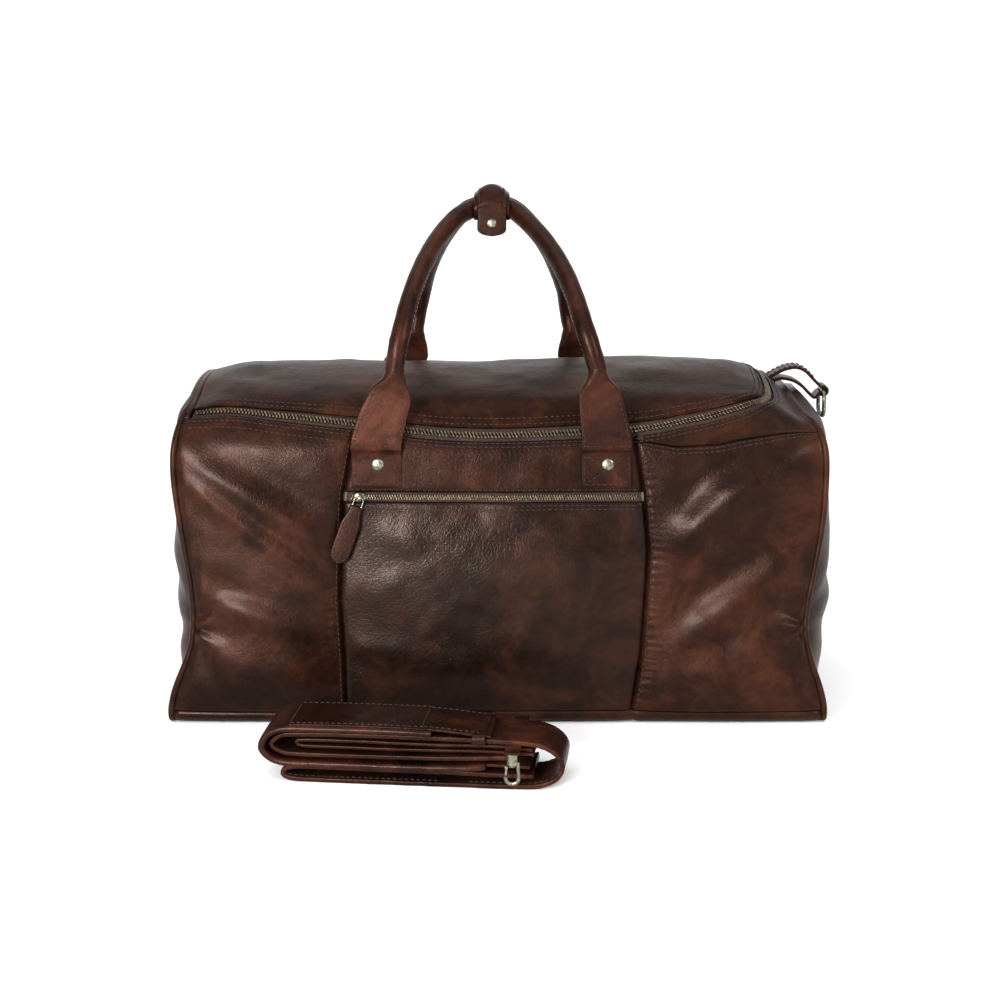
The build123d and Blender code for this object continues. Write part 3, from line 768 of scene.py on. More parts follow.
def gusset():
    """Strip between the zip and the end seam, over the right end from front to back."""
    inner = zip_line(ZIP_SLOT, 1400)
    inner = inner[inner[:, 0] >= SEAM_X + HALF_GAP]
    inner = resample(inner, count=150)
    x = np.linspace(SEAM_X + HALF_GAP, PANEL_END, 60)
    front = resample(np.stack([x, gusset_edge(x)], axis=1), count=56)
    side = np.stack([np.full(40, PANEL_END), np.linspace(front[-1, 1], -front[-1, 1], 40)], axis=1)
    outer = np.concatenate([front, side[1:-1], front[::-1] * (1, -1)])
    v = np.linspace(0, 1, 26)[:, None, None]
    domain = inner[None] * (1 - v) + outer[None] * v
    piece = leather_sheet("top_gusset_skin", domain[..., 0], domain[..., 1], SHELL, "bag")
    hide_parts("top_gusset")


LID_CORNER_X = 110         # past this length the zip turns across the bag


def bend_lid(piece):
    """Bakes the piece's placement into its mesh; the seam point it works out is not used."""
    seam = skin(LID_HINGE[0], np.array([0.0, zip_edge(LID_HINGE[0])]))
    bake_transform(piece)


def lid():
    """The whole top, from the hinge at the left end to the zip."""
    blocks_x, blocks_s = [], []
    u = np.linspace(0, 1, 170)[None]
    for facing in (-1, 1):
        edge = zip_half(-ZIP_SLOT, facing)
        corner = edge[edge[:, 0] >= LID_CORNER_X]
        straight = edge[edge[:, 0] < LID_CORNER_X + 2]
        reach = abs(corner[0, 1])
        corner = resample(corner, count=64)
        share = np.append(np.abs(corner[:-1, 1]) / reach, 0.0)
        xs = LID_HINGE[0] + (corner[:, 0:1] - LID_HINGE[0]) * u
        full = np.interp(xs, straight[:, 0], np.abs(straight[:, 1]))
        blocks_x.append(xs)
        blocks_s.append(facing * share[:, None] * full)
    xs = np.concatenate([blocks_x[0], blocks_x[1][-2::-1]])
    ss = np.concatenate([blocks_s[0], blocks_s[1][-2::-1]])
    # the lid takes the lighter leather, whose extra brightness is painted light
    piece = leather_sheet("lid_skin", xs, ss, LID_LIT_LEATHER, None)
    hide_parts("lid_panel")
    bend_lid(piece)

    around = np.linspace(zip_edge(LID_HINGE[0]), rear_edge(LID_HINGE[0]), 120)
    seam_x, seam_s = np.meshgrid(np.linspace(-PANEL_END, LID_HINGE[0], 6), around)
    strip = leather_sheet("hinge_seam_skin", seam_x, seam_s, SHELL, "bag")
    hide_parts("hinge_seam")

    # cloth lining under the lid, a little inside the zip
    cloth_x = LID_HINGE[0] + 8 + (xs[:, ::3] - LID_HINGE[0]) * 0.93
    cloth_s = ss[:, ::3] * 0.90
    under = cloth_sheet("lid_lining_skin", cloth_x, cloth_s, 4.2, 0.7, LINING, None)
    bend_lid(under)
    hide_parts("lid_lining")


PIPING_R = 2.7
END_FULL = {-1: 5, 1: 10}  # how far the middle of each end panel bulges
END_FAN_Z = 88


def end_seam(side):
    """Loop under the skin's end, all the way round."""
    half = np.linspace(0, S_END, 210, endpoint=False)
    return skin(side * PIPING_X, np.concatenate([half - S_END, half]), -2.6)


def ends():
    for side, word in ((-1, "left"), (1, "right")):
        loop = end_seam(side)
        loop[:, 2] = np.maximum(loop[:, 2], PIPING_R)
        cord = tube(f"piping_{word}_skin", loop, PIPING_R, TRIM, "bag", closed=True, around=12)
        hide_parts(f"piping_{word}")

        # end panel: rows from the front of the loop to its mirror point at the back
        rows = np.concatenate([np.linspace(S_END - 2, S_BASE, 16), np.linspace(S_BASE, 0.5, 110)[1:]])
        edge = skin(side * (PIPING_X - 0.5), -rows, -3.4)
        edge[:, 2] = np.maximum(edge[:, 2], 2.0)
        v = np.linspace(-1, 1, 90)
        z = np.broadcast_to(edge[:, 2:3], (len(rows), 90))
        y = np.abs(edge[:, 1:2]) * v[None]
        middle = 275 + END_FULL[side] * bump(z, 128, 72) - 7 * bump(z, 6, 22)
        reach = np.clip(np.maximum(np.abs(v)[None] ** 5.5, np.abs((z - 138) / 142) ** 7), 0, 1)
        x = np.abs(edge[:, :1]) * reach + middle * (1 - reach)
        rumple = 2.0 * noise(y, z, 0 * z, 70, 5 + side) + 1.5 * noise(y, z * 1.3, 0 * z, 27, 9 + side)
        from_seam = np.abs(y + 128)
        fan = bump(z, END_FAN_Z, 70) * np.sin(np.arctan2(z - END_FAN_Z, from_seam + 20) * 9)
        fan = fan * np.exp(-from_seam / 70)
        x = x + (rumple + 2.6 * fan) * (1 - reach)
        outer = np.stack([side * x, y, z], axis=-1)
        inner = outer - np.array([side * 2.6, 0, 0])
        panel = slab_from_grid(f"end_panel_{word}_skin", outer, inner, SHELL, "bag")
        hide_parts(f"end_panel_{word}")


front_panels()
back_and_base()
gusset()
lid()
ends()


# ------------------------------------------------------------------ zips
def tooth_block(centre, along, across, up, long, wide, high):
    """Eight-cornered tooth with a narrowed head towards +across."""
    corners = []
    for a, w, h, pinch in ((-1, -1, -1, 1), (1, -1, -1, 1), (1, 1, -1, 0.7), (-1, 1, -1, 0.7),
                           (-1, -1, 1, 0.8), (1, -1, 1, 0.8), (1, 1, 1, 0.55), (-1, 1, 1, 0.55)):
        corners.append(centre + along * a * long / 2 * pinch + across * w * wide / 2 + up * h * high / 2)
    return corners


TOOTH_FACES = [(0, 3, 2, 1), (4, 5, 6, 7), (0, 1, 5, 4), (1, 2, 6, 5), (2, 3, 7, 6), (3, 0, 4, 7)]


def chain(name, path, toward, ups, pitch, wide, high, body, phase):
    """Teeth of one side of a zip. toward points from the tape to the middle."""
    lengths = lengths_along(path)
    verts, faces = [], []
    for mark in np.arange(pitch * (0.5 + phase), lengths[-1], pitch):
        centre, across, up = (np.array([np.interp(mark, lengths, v[:, k]) for k in range(3)])
                              for v in (path, toward, ups))
        along = np.cross(across, up)
        base = len(verts)
        verts += tooth_block(centre, along / np.linalg.norm(along), across, up, pitch * 0.62, wide, high)
        faces += [tuple(base + i for i in f) for f in TOOTH_FACES]
    piece = make(name, verts, faces, ZIP_METAL, body, smooth_faces=False, weld=False)
    return piece


SLIDER_END_X = -228        # the rear slider holds the zip together from here to the hinge
SLIDER_EDGE = 4.8          # so the lid's tape starts this far from the middle line there


def main_zip():
    for word, body, sign in (("lower", "bag", 1), ("upper", None, -1)):
        mid = zip_line(sign * 1.35, 1200)
        far = zip_line(sign * 4.0, 1200)
        near = zip_line(sign * 0.1, 1200)
        clear = (mid[:, 1] < 0) | (mid[:, 0] > SLIDER_END_X) | (sign > 0)
        mid, far, near = mid[clear], far[clear], near[clear]
        path = skin(mid[:, 0], mid[:, 1], -1.9)
        toward = unit(skin(near[:, 0], near[:, 1]) - skin(far[:, 0], far[:, 1]))
        ups = skin_normal(mid[:, 0], mid[:, 1]) * Stitches.outward(mid[:, 0], mid[:, 1])
        teeth = chain(f"zip_teeth_{word}_skin", path, toward, ups, 2.9, 2.7, 1.7, body, 0.5 * (sign > 0))
        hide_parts(f"zip_teeth_{word}")

        offsets = np.linspace(0.5, ZIP_SLOT + 6, 9)
        grid = np.array([zip_line(sign * d, 420) for d in offsets])
        if sign < 0:
            by_slider = (grid[0, :, 1] > 0) & (grid[0, :, 0] < SLIDER_END_X)
            edge = zip_line(-SLIDER_EDGE, 420)
            for row in grid:
                near = by_slider & (np.abs(row[:, 1]) > np.abs(edge[:, 1]))
                row[near] = edge[near]
        depth = np.where(offsets > ZIP_SLOT - 1, 3.4, 3.0)[:, None]
        tape = cloth_sheet(f"zip_tape_{word}_skin", grid[..., 0], grid[..., 1], depth, 0.7, TAPE, body)
        if body is None:
            bend_lid(teeth)
            bend_lid(tape)
        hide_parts(f"zip_tape_{word}")


def pocket_zip():
    half = SEAM_X - 6
    x = np.linspace(-half, half, 300)
    for sign in (1, -1):
        s = -girth(POCKET_ZIP_Z + sign * 0.9) + 0 * x
        path = skin(x, s, -1.6)
        up = np.broadcast_to((0.0, -1.0, 0.0), path.shape)
        toward = np.broadcast_to((0.0, 0.0, -sign * 1.0), path.shape)
        chain(f"pocket_zip_teeth_{'upper' if sign > 0 else 'lower'}", path, toward, up,
                          2.2, 2.1, 1.5, "bag", 0.5 * (sign > 0))
    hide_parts("pocket_zip_teeth")
    xs, ss = sheet_grid((-half - 3, half + 3), level(YOKE_LOW_Z + 8), level(POCKET_TOP_Z - 8), 120, 10)
    tape = cloth_sheet("pocket_zip_tape_skin", xs, ss, 2.7, 0.7, TAPE, "bag")
    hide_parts("pocket_zip_tape")


main_zip()
pocket_zip()


# ------------------------------------------------------------------ lofts, for straps and rolls
RING_FLAT = 7


def ring(a, b, r):
    """Rounded rectangle of half width a and half thickness b, always with as many points."""
    r = min(r, a * 0.97, b * 0.97)
    result = []
    for k, (cx, cy) in enumerate(((a - r, b - r), (r - a, b - r), (r - a, r - b), (a - r, r - b))):
        for angle in np.linspace(k * pi / 2, (k + 1) * pi / 2, 5):
            result.append((cx + r * cos(angle), cy + r * sin(angle)))
        if k % 2 == 0:
            for t in np.linspace(0, 1, RING_FLAT + 2)[1:-1]:
                result.append((cx * (1 - 2 * t), cy + (r if k == 0 else -r)))
    return np.array(result)


def loft_mesh(points, across, up, sizes, wrinkle=0.0, seed=0, crown=0.0):
    """Rings of rounded rectangles along a path. sizes: rows of half width, half thickness, corner."""
    points, across, up = (np.asarray(v, float) for v in (points, across, up))
    sizes = np.asarray(sizes, float)
    rings = []
    for p, w, u, (a, b, r) in zip(points, across, up, sizes):
        flat = ring(a, b, r)
        swell = crown * (1 - np.clip(np.abs(flat[:, :1]) / a, 0, 1) ** 2) * np.sign(flat[:, 1:2])
        rings.append(p + flat[:, :1] * w + (flat[:, 1:2] + swell) * u)
    rings = np.array(rings)
    if wrinkle:
        centre = rings.mean(axis=1, keepdims=True)
        outward = unit(rings - centre)
        x, y, z = rings[..., 0], rings[..., 1], rings[..., 2]
        amount = noise(x * 0.6, y * 0.6, z * 1.5, 9, seed) + 0.5 * noise(x, y, z, 5, seed + 1)
        rings = rings + outward * (wrinkle * amount)[..., None]
    count = rings.shape[1]
    faces = grid_faces(len(rings), count, wrap_columns=True) + end_caps(len(rings), count)
    return rings.reshape(-1, 3), faces


def loft(name, points, across, up, sizes, material, body, **look):
    verts, faces = loft_mesh(points, across, up, sizes, **look)
    return make(name, verts, faces, material, body)


X_AXIS = (1.0, 0.0, 0.0)
Y_AXIS = (0.0, 1.0, 0.0)


def tangent_of(points):
    return unit(np.gradient(np.asarray(points, float), axis=0))


def band_frame(points, wide):
    """Directions across and out of a strip whose width keeps to one direction."""
    across = np.broadcast_to(wide, np.shape(points))
    return across, np.cross(across, tangent_of(points))


def merged(name, parts, material, body):
    """One piece from several (vertices, faces)."""
    verts, faces = [], []
    for v, f in parts:
        faces += [tuple(i + len(verts) for i in face) for face in f]
        verts += list(v)
    return make(name, verts, faces, material, body)


TURNED_SIDES = 28


def turned(centre, normal, profile):
    """Solid of revolution from (radius, height) pairs, standing on a point along a normal."""
    normal = unit(np.asarray(normal, float))
    side = unit(np.cross(normal, (0.0, 0.0, 1.0) if abs(normal[2]) < 0.9 else (1.0, 0.0, 0.0)))
    other = np.cross(normal, side)
    angles = np.linspace(0, 2 * pi, TURNED_SIDES, endpoint=False)
    verts = [np.asarray(centre) + r * (cos(t) * side + sin(t) * other) + h * normal
             for r, h in profile for t in angles]
    faces = grid_faces(len(profile), TURNED_SIDES, wrap_columns=True)
    return verts, faces + end_caps(len(profile), TURNED_SIDES)


def dome(radius, height, foot):
    """Profile of a domed cap whose foot sinks into the leather."""
    angles = np.linspace(0, pi / 2 * 0.94, 8)
    return [(radius * 0.9, -foot), (radius, -foot * 0.2)] + [(radius * cos(t), height * sin(t)) for t in angles]


# ------------------------------------------------------------------ handles
ROLL_R = 7.9
CORE_R = 4.5
LEG_BASE_SHIFT = -7.0      # the sewn patches sit a little left of the CAD ones, as in the photo
PATCH_FOOT_Z = 205.5
PATCH_END_Z = 238.0        # above this the flat strap leaves the bag
NECK_Z = 286.0             # the flat strap has drawn in here
ROLL_Z = 303.0             # and the roll starts here
BLEND_LOW = HANDLE_HINGE[2] - 4
BLEND_HIGH = HANDLE_HINGE[2] + 12

# stations of a handle's arch from the head of a strap to the wrap: how far from the middle in y, and z
ARCH_YZ = [(133, ROLL_Z + 3), (133, 322), (126, 343), (108, 364),
           (82, 386), (52, 405.5), (25, 420.5), (12.5, 427.8)]
ARCH_TOP = (-7.0, 12.0, 430.2)

# x at those stations, for each handle (-1 front, 1 rear) and side (-1 left, 1 right)
ARCH_X = {
    (-1, -1): (-86, -83.5, -78.5, -72.5, -63.5, -51.5, -37, -22),
    (-1, 1): (79.5, 74.5, 67.5, 60.5, 50, 35.5, 19.5, 7.5),
    (1, -1): (-80, -77, -72, -66.5, -57, -45.5, -33.5, -21.5),
    (1, 1): (67, 64, 60.5, 53, 43, 31, 18, 7.5),
}


def leg_centre(side, facing, z):
    """Middle of a flat strap at a height: it leans from the sewn patch in to the roll."""
    foot = side * PATCH_X + LEG_BASE_SHIFT
    head = ARCH_X[facing, side][0]
    return foot + (head - foot) * smooth(PATCH_END_Z, ROLL_Z, z)


def patch_points(x, z, facing, out):
    """Points at lengths and heights, standing off the bag's front (-1) or back (1)."""
    points = skin(x, facing * girth(z))
    points[:, 0] = x
    points[:, 1] += facing * out
    return points


def handle(word, facing):
    """One handle in one piece of leather, its rope core and its thread."""
    body = f"handle_{word}"
    wall = facing * abs(HANDLE_HINGE[1])
    left, right = ([(x, facing * y, z) for x, (y, z) in zip(ARCH_X[facing, side], ARCH_YZ)]
                   for side in (-1, 1))
    top_x, top_y, top_z = ARCH_TOP
    roll = curve_through(left + [(top_x, facing * top_y, top_z)] + right[::-1], 150)

    def leg(side):
        """Stations from the foot of the patch to the roll, with their half width, half thickness, corner."""
        z = np.concatenate([[PATCH_FOOT_Z, 206.2], np.linspace(209, 237.6, 9), [238.2],
                            np.linspace(240, 252, 7), np.linspace(255, NECK_Z, 12),
                            np.linspace(NECK_Z + 2, ROLL_Z, 9)])
        x = leg_centre(side, facing, z)
        on_bag = skin(x, facing * girth(z))[:, 1]
        plain = wall * np.ones_like(z)
        lift = 1 - smooth(228, 244, z)
        outward = np.where(z < PATCH_END_Z, 0.9, 2.5)
        y = (on_bag + facing * outward) * lift + plain * (1 - lift)
        a = np.interp(z, [205, 240, 262, NECK_Z, 292, 297, ROLL_Z],
                      [STRAP_HALF - 0.6, STRAP_HALF, 19.8, 17.0, 13.5, 10, ROLL_R])
        b = np.interp(z, [PATCH_FOOT_Z, 206.2, 237.9, 238.2, 280, NECK_Z, 292, ROLL_Z],
                      [0.5, 1.1, 1.1, 2.1, 2.1, 2.6, 4.8, ROLL_R])
        r = np.interp(z, [PATCH_FOOT_Z, 280, NECK_Z, ROLL_Z], [0.9, 1.3, 2.4, ROLL_R])
        return np.stack([x, y, z], axis=1), np.stack([a, b, r], axis=1)

    left_points, left_sizes = leg(-1)
    right_points, right_sizes = leg(1)
    path = np.concatenate([left_points, roll, right_points[::-1]])
    sizes = np.concatenate([left_sizes, np.full((len(roll), 3), ROLL_R), right_sizes[::-1]])
    along = tangent_of(path)
    across, up = [], []
    for k, tangent in enumerate(along):
        flat = np.array((1.0, 0.0, 0.0)) if k < len(path) / 2 else np.array((-1.0, 0.0, 0.0))
        tipped = smooth(ROLL_Z, ROLL_Z + 60, path[k][2])
        flat = flat * (1 - tipped) + tipped * np.array((0, -facing * 0.8, -1.0))
        w = flat - tangent * np.dot(flat, tangent)
        w = w / np.linalg.norm(w)
        across.append(w)
        up.append(np.cross(tangent, w))
    creased = loft(f"{body}_leather", path, across, up, sizes, STRAP, None, wrinkle=0.22, seed=20 + facing)
    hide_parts(f"{body}_roll", f"{body}_strap_left", f"{body}_strap_right",
                f"handle_patch_{word}_left", f"handle_patch_{word}_right")
    start, end = (0, wall * MM, BLEND_LOW * MM), (0, wall * MM, BLEND_HIGH * MM)
    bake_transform(creased)
    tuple(start)
    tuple(end)

    core = tube(f"{body}_core_rope", roll[4:-4], CORE_R, ROPE, body, around=10)
    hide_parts(f"{body}_core")

    # thread: strap edges, the box and cross on each patch, and the seam under the roll
    thread = Stitches(f"{body}_stitches", None, THREAD)
    face = np.array((0.0, facing * 1.0, 0.0))
    for points, half_sizes, side in ((left_points, left_sizes, -1), (right_points, right_sizes, 1)):
        keep = (points[:, 2] > PATCH_END_Z + 0.1) & (points[:, 2] < NECK_Z + 1)
        wide, thick = half_sizes[keep, 0], half_sizes[keep, 1]
        for edge in (-1, 1):
            offset = np.stack([edge * (wide - 2.4), facing * (thick + 0.15), 0 * wide], axis=1)
            line = resample(points[keep] + offset, 1.5)
            thread.run(line, np.broadcast_to(face, line.shape))

        reach, low, high = STRAP_HALF - 3, 209, 235
        box = [(-reach, low), (reach, low), (reach, high), (-reach, high), (-reach, low), (reach, high)]
        cross = [(reach, low), (-reach, high)]
        for corners, out in ((box, 2.2), (cross, 2.3)):
            dx, z = resample(corners, 1.0).T
            line = patch_points(leg_centre(side, facing, z) + dx, z, facing, out)
            thread.run(line, np.broadcast_to(face, line.shape))
        dx, z = resample([(-reach, 241.5), (reach, 241.5)], 1.0).T
        line = np.stack([leg_centre(side, facing, z) + dx, wall + facing * 2.3 + 0 * dx, z], axis=1)
        thread.run(line, np.broadcast_to(face, line.shape))
    tangents = frames_along(roll)[0]
    inward = unit(np.cross(tangents, np.broadcast_to((0.0, 1.0, 0.0), roll.shape))) * (-1.0)
    seam = unit(inward * 0.9 + np.array((0.0, facing * 0.42, 0.0)))
    thread.run(roll + seam * (ROLL_R + 0.1), seam)
    sewn = thread.finish()
    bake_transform(sewn)
    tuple(start)
    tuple(end)


RIVET_Z = 226.0


def rivets():
    parts = []
    for facing in (-1, 1):
        for side in (-1, 1):
            x = leg_centre(side, facing, np.array([RIVET_Z])) + 1.0
            spot = patch_points(x, RIVET_Z, facing, 2.2)[0]
            parts.append(turned(spot, (0, facing, 0.0), dome(5.3, 1.7, 1.2)))
    piece = merged("handle_rivet_caps", parts, HARDWARE, "bag")
    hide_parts("handle_rivets")


for word, facing in (("front", -1), ("back", 1)):
    handle(word, facing)
rivets()


# ------------------------------------------------------------------ wrap round the two rolls
WRAP_MID, ROLL_Y, ROLL_TOP_Z = ARCH_TOP
WRAP_HALF = 15.5
TAB_HALF = 12.5
TAB_FOOT_Z = 404.6
TAB_ROUND = 8.0
TAB_DROOP = 8.0
SNAP_Z = 416.5


def stadium(radius, start, end, count):
    """Path in YZ round both rolls, between two shares of the way round from the top to the front."""
    straight, arc = ROLL_Y, pi * radius
    total = 4 * straight + 2 * arc
    result = []
    for share in np.linspace(start, end, count):
        d = (share % 1.0) * total
        if d < straight:
            result.append((-d, radius))
        elif d < straight + arc:
            t = (d - straight) / radius
            result.append((-straight - radius * sin(t), radius * cos(t)))
        elif d < 3 * straight + arc:
            result.append((-straight + d - straight - arc, -radius))
        elif d < 3 * straight + 2 * arc:
            t = (d - 3 * straight - arc) / radius
            result.append((straight + radius * sin(t), -radius * cos(t)))
        else:
            result.append((total - d, radius))
    yz = np.array(result)
    return np.stack([np.full(count, WRAP_MID), yz[:, 0], ROLL_TOP_Z + yz[:, 1]], axis=1)


def droop(verts, amount):
    """The wrap hugs the rolls at its two ends and stands fuller in the middle."""
    upper = 0.3 + 0.7 * smooth(ROLL_TOP_Z - 6, ROLL_TOP_Z + 8, verts[:, 2])
    verts[:, 2] -= amount * upper * ((verts[:, 0] - WRAP_MID) / WRAP_HALF) ** 2
    return verts


def wrap_strip(points, half_width, half_thick, amount, taper=1.0):
    """Drooping leather strip along a YZ path, with its width along X."""
    across, up = band_frame(points, X_AXIS)
    ones = np.ones(len(points))
    sizes = np.stack([half_width * (ones * taper), half_thick * ones, 1.2 * ones], axis=1)
    verts, faces = loft_mesh(points, across, up, sizes, wrinkle=0.12, seed=31, crown=0.5)
    return droop(verts, amount), faces


def wrap():
    rear = stadium(9.6, 0.40, 0.90, 70)
    piece = merged("handle_wrap_leather", [wrap_strip(rear, WRAP_HALF, 1.4, 2.5)], STRAP, "handle_back")
    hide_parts("handle_wrap")

    over = stadium(12.0, -0.12, 0.36, 80)
    over[:, 2] += 1.2
    tab = stadium(14.6, 0.03, 0.24, 40)
    tab[:, 2] += 1.5
    tail = np.stack([np.full(14, WRAP_MID), tab[-1, 1] + np.linspace(0.4, 3.2, 14),
                     np.linspace(tab[-1, 2] - 1.5, TAB_FOOT_Z, 14)], axis=1)
    tab = resample(np.concatenate([tab, tail]), count=60)
    close = np.clip((tab[:, 2] - TAB_FOOT_Z) / TAB_ROUND, 0, 1)
    at_foot = (tab[:, 2] < TAB_FOOT_Z + TAB_ROUND) & (tab[:, 1] <= -13)
    rounding = np.where(at_foot, np.sqrt(np.maximum(1 - (1 - close) ** 2, 0.02)), 1.0)
    flap = [wrap_strip(over, WRAP_HALF, 1.5, 5.5), wrap_strip(tab, TAB_HALF, 1.4, TAB_DROOP, rounding)]
    piece = merged("wrap_flap_leather", flap, STRAP, None)
    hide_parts("wrap_flap")
    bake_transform(piece)

    across, up = band_frame(tab, X_AXIS)
    thread = Stitches("wrap_stitches", "wrap_flap", THREAD)
    outward = np.sign(np.sum(up * (tab - np.array((WRAP_MID, 0, ROLL_TOP_Z))), axis=1, keepdims=True)) * up
    for edge in (-1, 1):
        line = tab + outward * 1.75 + across * edge * (TAB_HALF * rounding[:, None] - 2.0)
        thread.run(droop(line, TAB_DROOP)[:-3], outward[:-3])
    spot = np.array((WRAP_MID, tab[-1, 1] - 1.9, SNAP_Z))
    sewn = thread.finish()
    cap = merged("wrap_snap_dome", [turned(spot, (0, -1, 0.05), dome(5.0, 1.9, 1.0))], HARDWARE, "wrap_flap")
    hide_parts("wrap_snap_cap")


wrap()


# ------------------------------------------------------------------ D-ring tabs
TAB_LOOP_R = 3.7

# (distance from the middle, height) of a tab's path up to the ring's bar, and on from it
TAB_PATHS = {
    "right": ([(236, 279.5), (243, 283.5), (252, 287.5), (261, 288.5), (269, 285), (276, 278), (281, 273)],
              [(277, 262), (272, 266), (266, 272), (258, 277), (248, 279), (240, 277)]),
    "left": ([(277.6, 238), (278.2, 232), (280, 226), (282, 222.5)],
             [(280.5, 212), (278.8, 206), (277.9, 196), (277.8, 186)]),
}


def d_ring_tabs():
    for side, word in ((1, "right"), (-1, "left")):
        bar = mm(JOINTS[f"d_ring_{word}_swing"]["pos_m"])
        angles = np.radians(np.linspace(105, -150, 26))
        loop = np.stack([abs(bar[0]) + TAB_LOOP_R * np.cos(angles),
                         bar[2] + TAB_LOOP_R * np.sin(angles)], axis=1)
        lead, back = TAB_PATHS[word]
        points = curve_through(np.concatenate([lead, loop, back]), 90)
        path = np.stack([side * points[:, 0], 0 * points[:, 0], points[:, 1]], axis=1)
        across, up = band_frame(path, Y_AXIS)
        sizes = np.tile([10.5, 1.3, 1.0], (len(path), 1))
        piece = loft(f"d_ring_tab_{word}_leather", path, across, up, sizes, TRIM, "bag", wrinkle=0.15, seed=44)
        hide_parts(f"d_ring_tab_{word}")
        thread = Stitches(f"d_ring_tab_{word}_stitches", "bag", THREAD)
        outward = up * (1 if up[3] @ np.array((side * 0.3, 0, 1.0)) > 0 else -1)
        for edge in (-1, 1):
            line = path + outward * 1.45 + across * edge * 8.3
            thread.run(line[:34], outward[:34])
        sewn = thread.finish()


d_ring_tabs()


# ------------------------------------------------------------------ sliders and pulls
SLIDER_SCALE = 0.92
SLIDER_SIDES = 36
SLIDER_LIFT = 4.3          # the pull's pivot stands this far above the middle of the slider
BRIDGE = [(-3.1, 1.9), (-3.3, 3.6), (-2.6, 5.8), (0, 7.1), (2.6, 5.8), (3.3, 3.6), (3.1, 1.9)]


def slider_mesh(origin, x_dir, z_dir):
    """Zip slider: two plates with a waist, and a bridge across the zip for the pull."""
    x_dir, z_dir = unit(np.asarray(x_dir, float)), unit(np.asarray(z_dir, float))
    y_dir = np.cross(z_dir, x_dir)

    def place(u, v, w):
        return origin + (x_dir * u + y_dir * v + z_dir * w) * SLIDER_SCALE

    parts = []
    outline = []
    for t in np.linspace(0, 2 * pi, SLIDER_SIDES, endpoint=False):
        c, s = cos(t), sin(t)
        u = 5.6 * np.sign(c) * abs(c) ** 0.75
        outline.append((u, (4.6 - 0.9 * smooth(-1, 6, u)) * np.sign(s) * abs(s) ** 0.7))
    for low, high in ((0.6, 2.2), (-2.6, -1.2)):
        rows = [(low, 0.9), (low + 0.3, 1.0), (high - 0.5, 1.0), (high, 0.84)]
        verts = [place(u * k, v * k, w) for w, k in rows for u, v in outline]
        faces = grid_faces(len(rows), SLIDER_SIDES, wrap_columns=True)
        parts.append((verts, faces + end_caps(len(rows), SLIDER_SIDES)))
    arch = curve_through([place(0, v, w) for v, w in BRIDGE], 30)
    parts.append(loft_mesh(arch, *band_frame(arch, x_dir), np.tile([1.5, 0.6, 0.5], (30, 1)) * SLIDER_SCALE))
    wedge = [1.2 * SLIDER_SCALE, 1.6 * SLIDER_SCALE, 0.3]
    parts.append(loft_mesh([place(u, 0, 0) for u in (3.4, 4.4)], [y_dir] * 2, [z_dir] * 2, [wedge] * 2))
    return parts


def rounded_loop(width, height, r, count=48):
    """Rounded rectangle hanging from the origin: (across, down)."""
    a, b = width / 2, height / 2
    result = []
    for k, (cx, cy) in enumerate(((a - r, r - b), (a - r, b - r), (r - a, b - r), (r - a, r - b))):
        for t in np.linspace((k - 1) * pi / 2, k * pi / 2, 8):
            result.append((cx + r * cos(t), cy + r * sin(t) + b))
    loop = np.array(result)
    return resample(np.concatenate([loop, loop[:1]]), count=count)[:-1]


TAG_ROUND = 9.0


def tag_mesh(place, top, length, half_wide, half_thick):
    """Leather tag drawn in (across, down, out) and turned by place(): narrow neck, rounded foot."""
    straight = length - TAG_ROUND
    d = np.concatenate([[0, 0.7], np.linspace(2, straight, 16),
                        straight + TAG_ROUND * np.sin(np.linspace(0.12, 1, 12) * pi / 2)])
    full = half_wide * np.interp(d, [0, 6, 16, straight], [0.62, 0.68, 1.0, 1.0])
    foot = np.sqrt(np.clip(1 - ((d - straight) / TAG_ROUND) ** 2, 0.012, 1))
    a = np.where(d > straight, half_wide * foot, full)
    rows = [place(0, top + v, 0) for v in d]
    across = place(1, 0, 0) - place(0, 0, 0)
    out = place(0, 0, 1) - place(0, 0, 0)
    sizes = np.stack([a, np.full(len(d), half_thick), np.full(len(d), 0.9)], axis=1)
    return loft_mesh(rows, [across] * len(d), [out] * len(d), sizes, crown=0.35), d, a


def pull_directions(word):
    """Which way a pull hangs at rest, and which way its flat side faces."""
    if word == "pocket":
        out = (0.0, -1.0, 0.0)
        down = unit(np.array((-0.34, -0.064, -0.94)))
        return down, unit(np.array(out) - down * np.dot(out, down))
    normal = unit(np.array((0.0, 0.83, 0.56)))
    down = unit(np.cross(normal, X_AXIS))
    down = down if down[2] < 0 else -down
    return unit(down + np.array((0.22, 0, 0))), normal


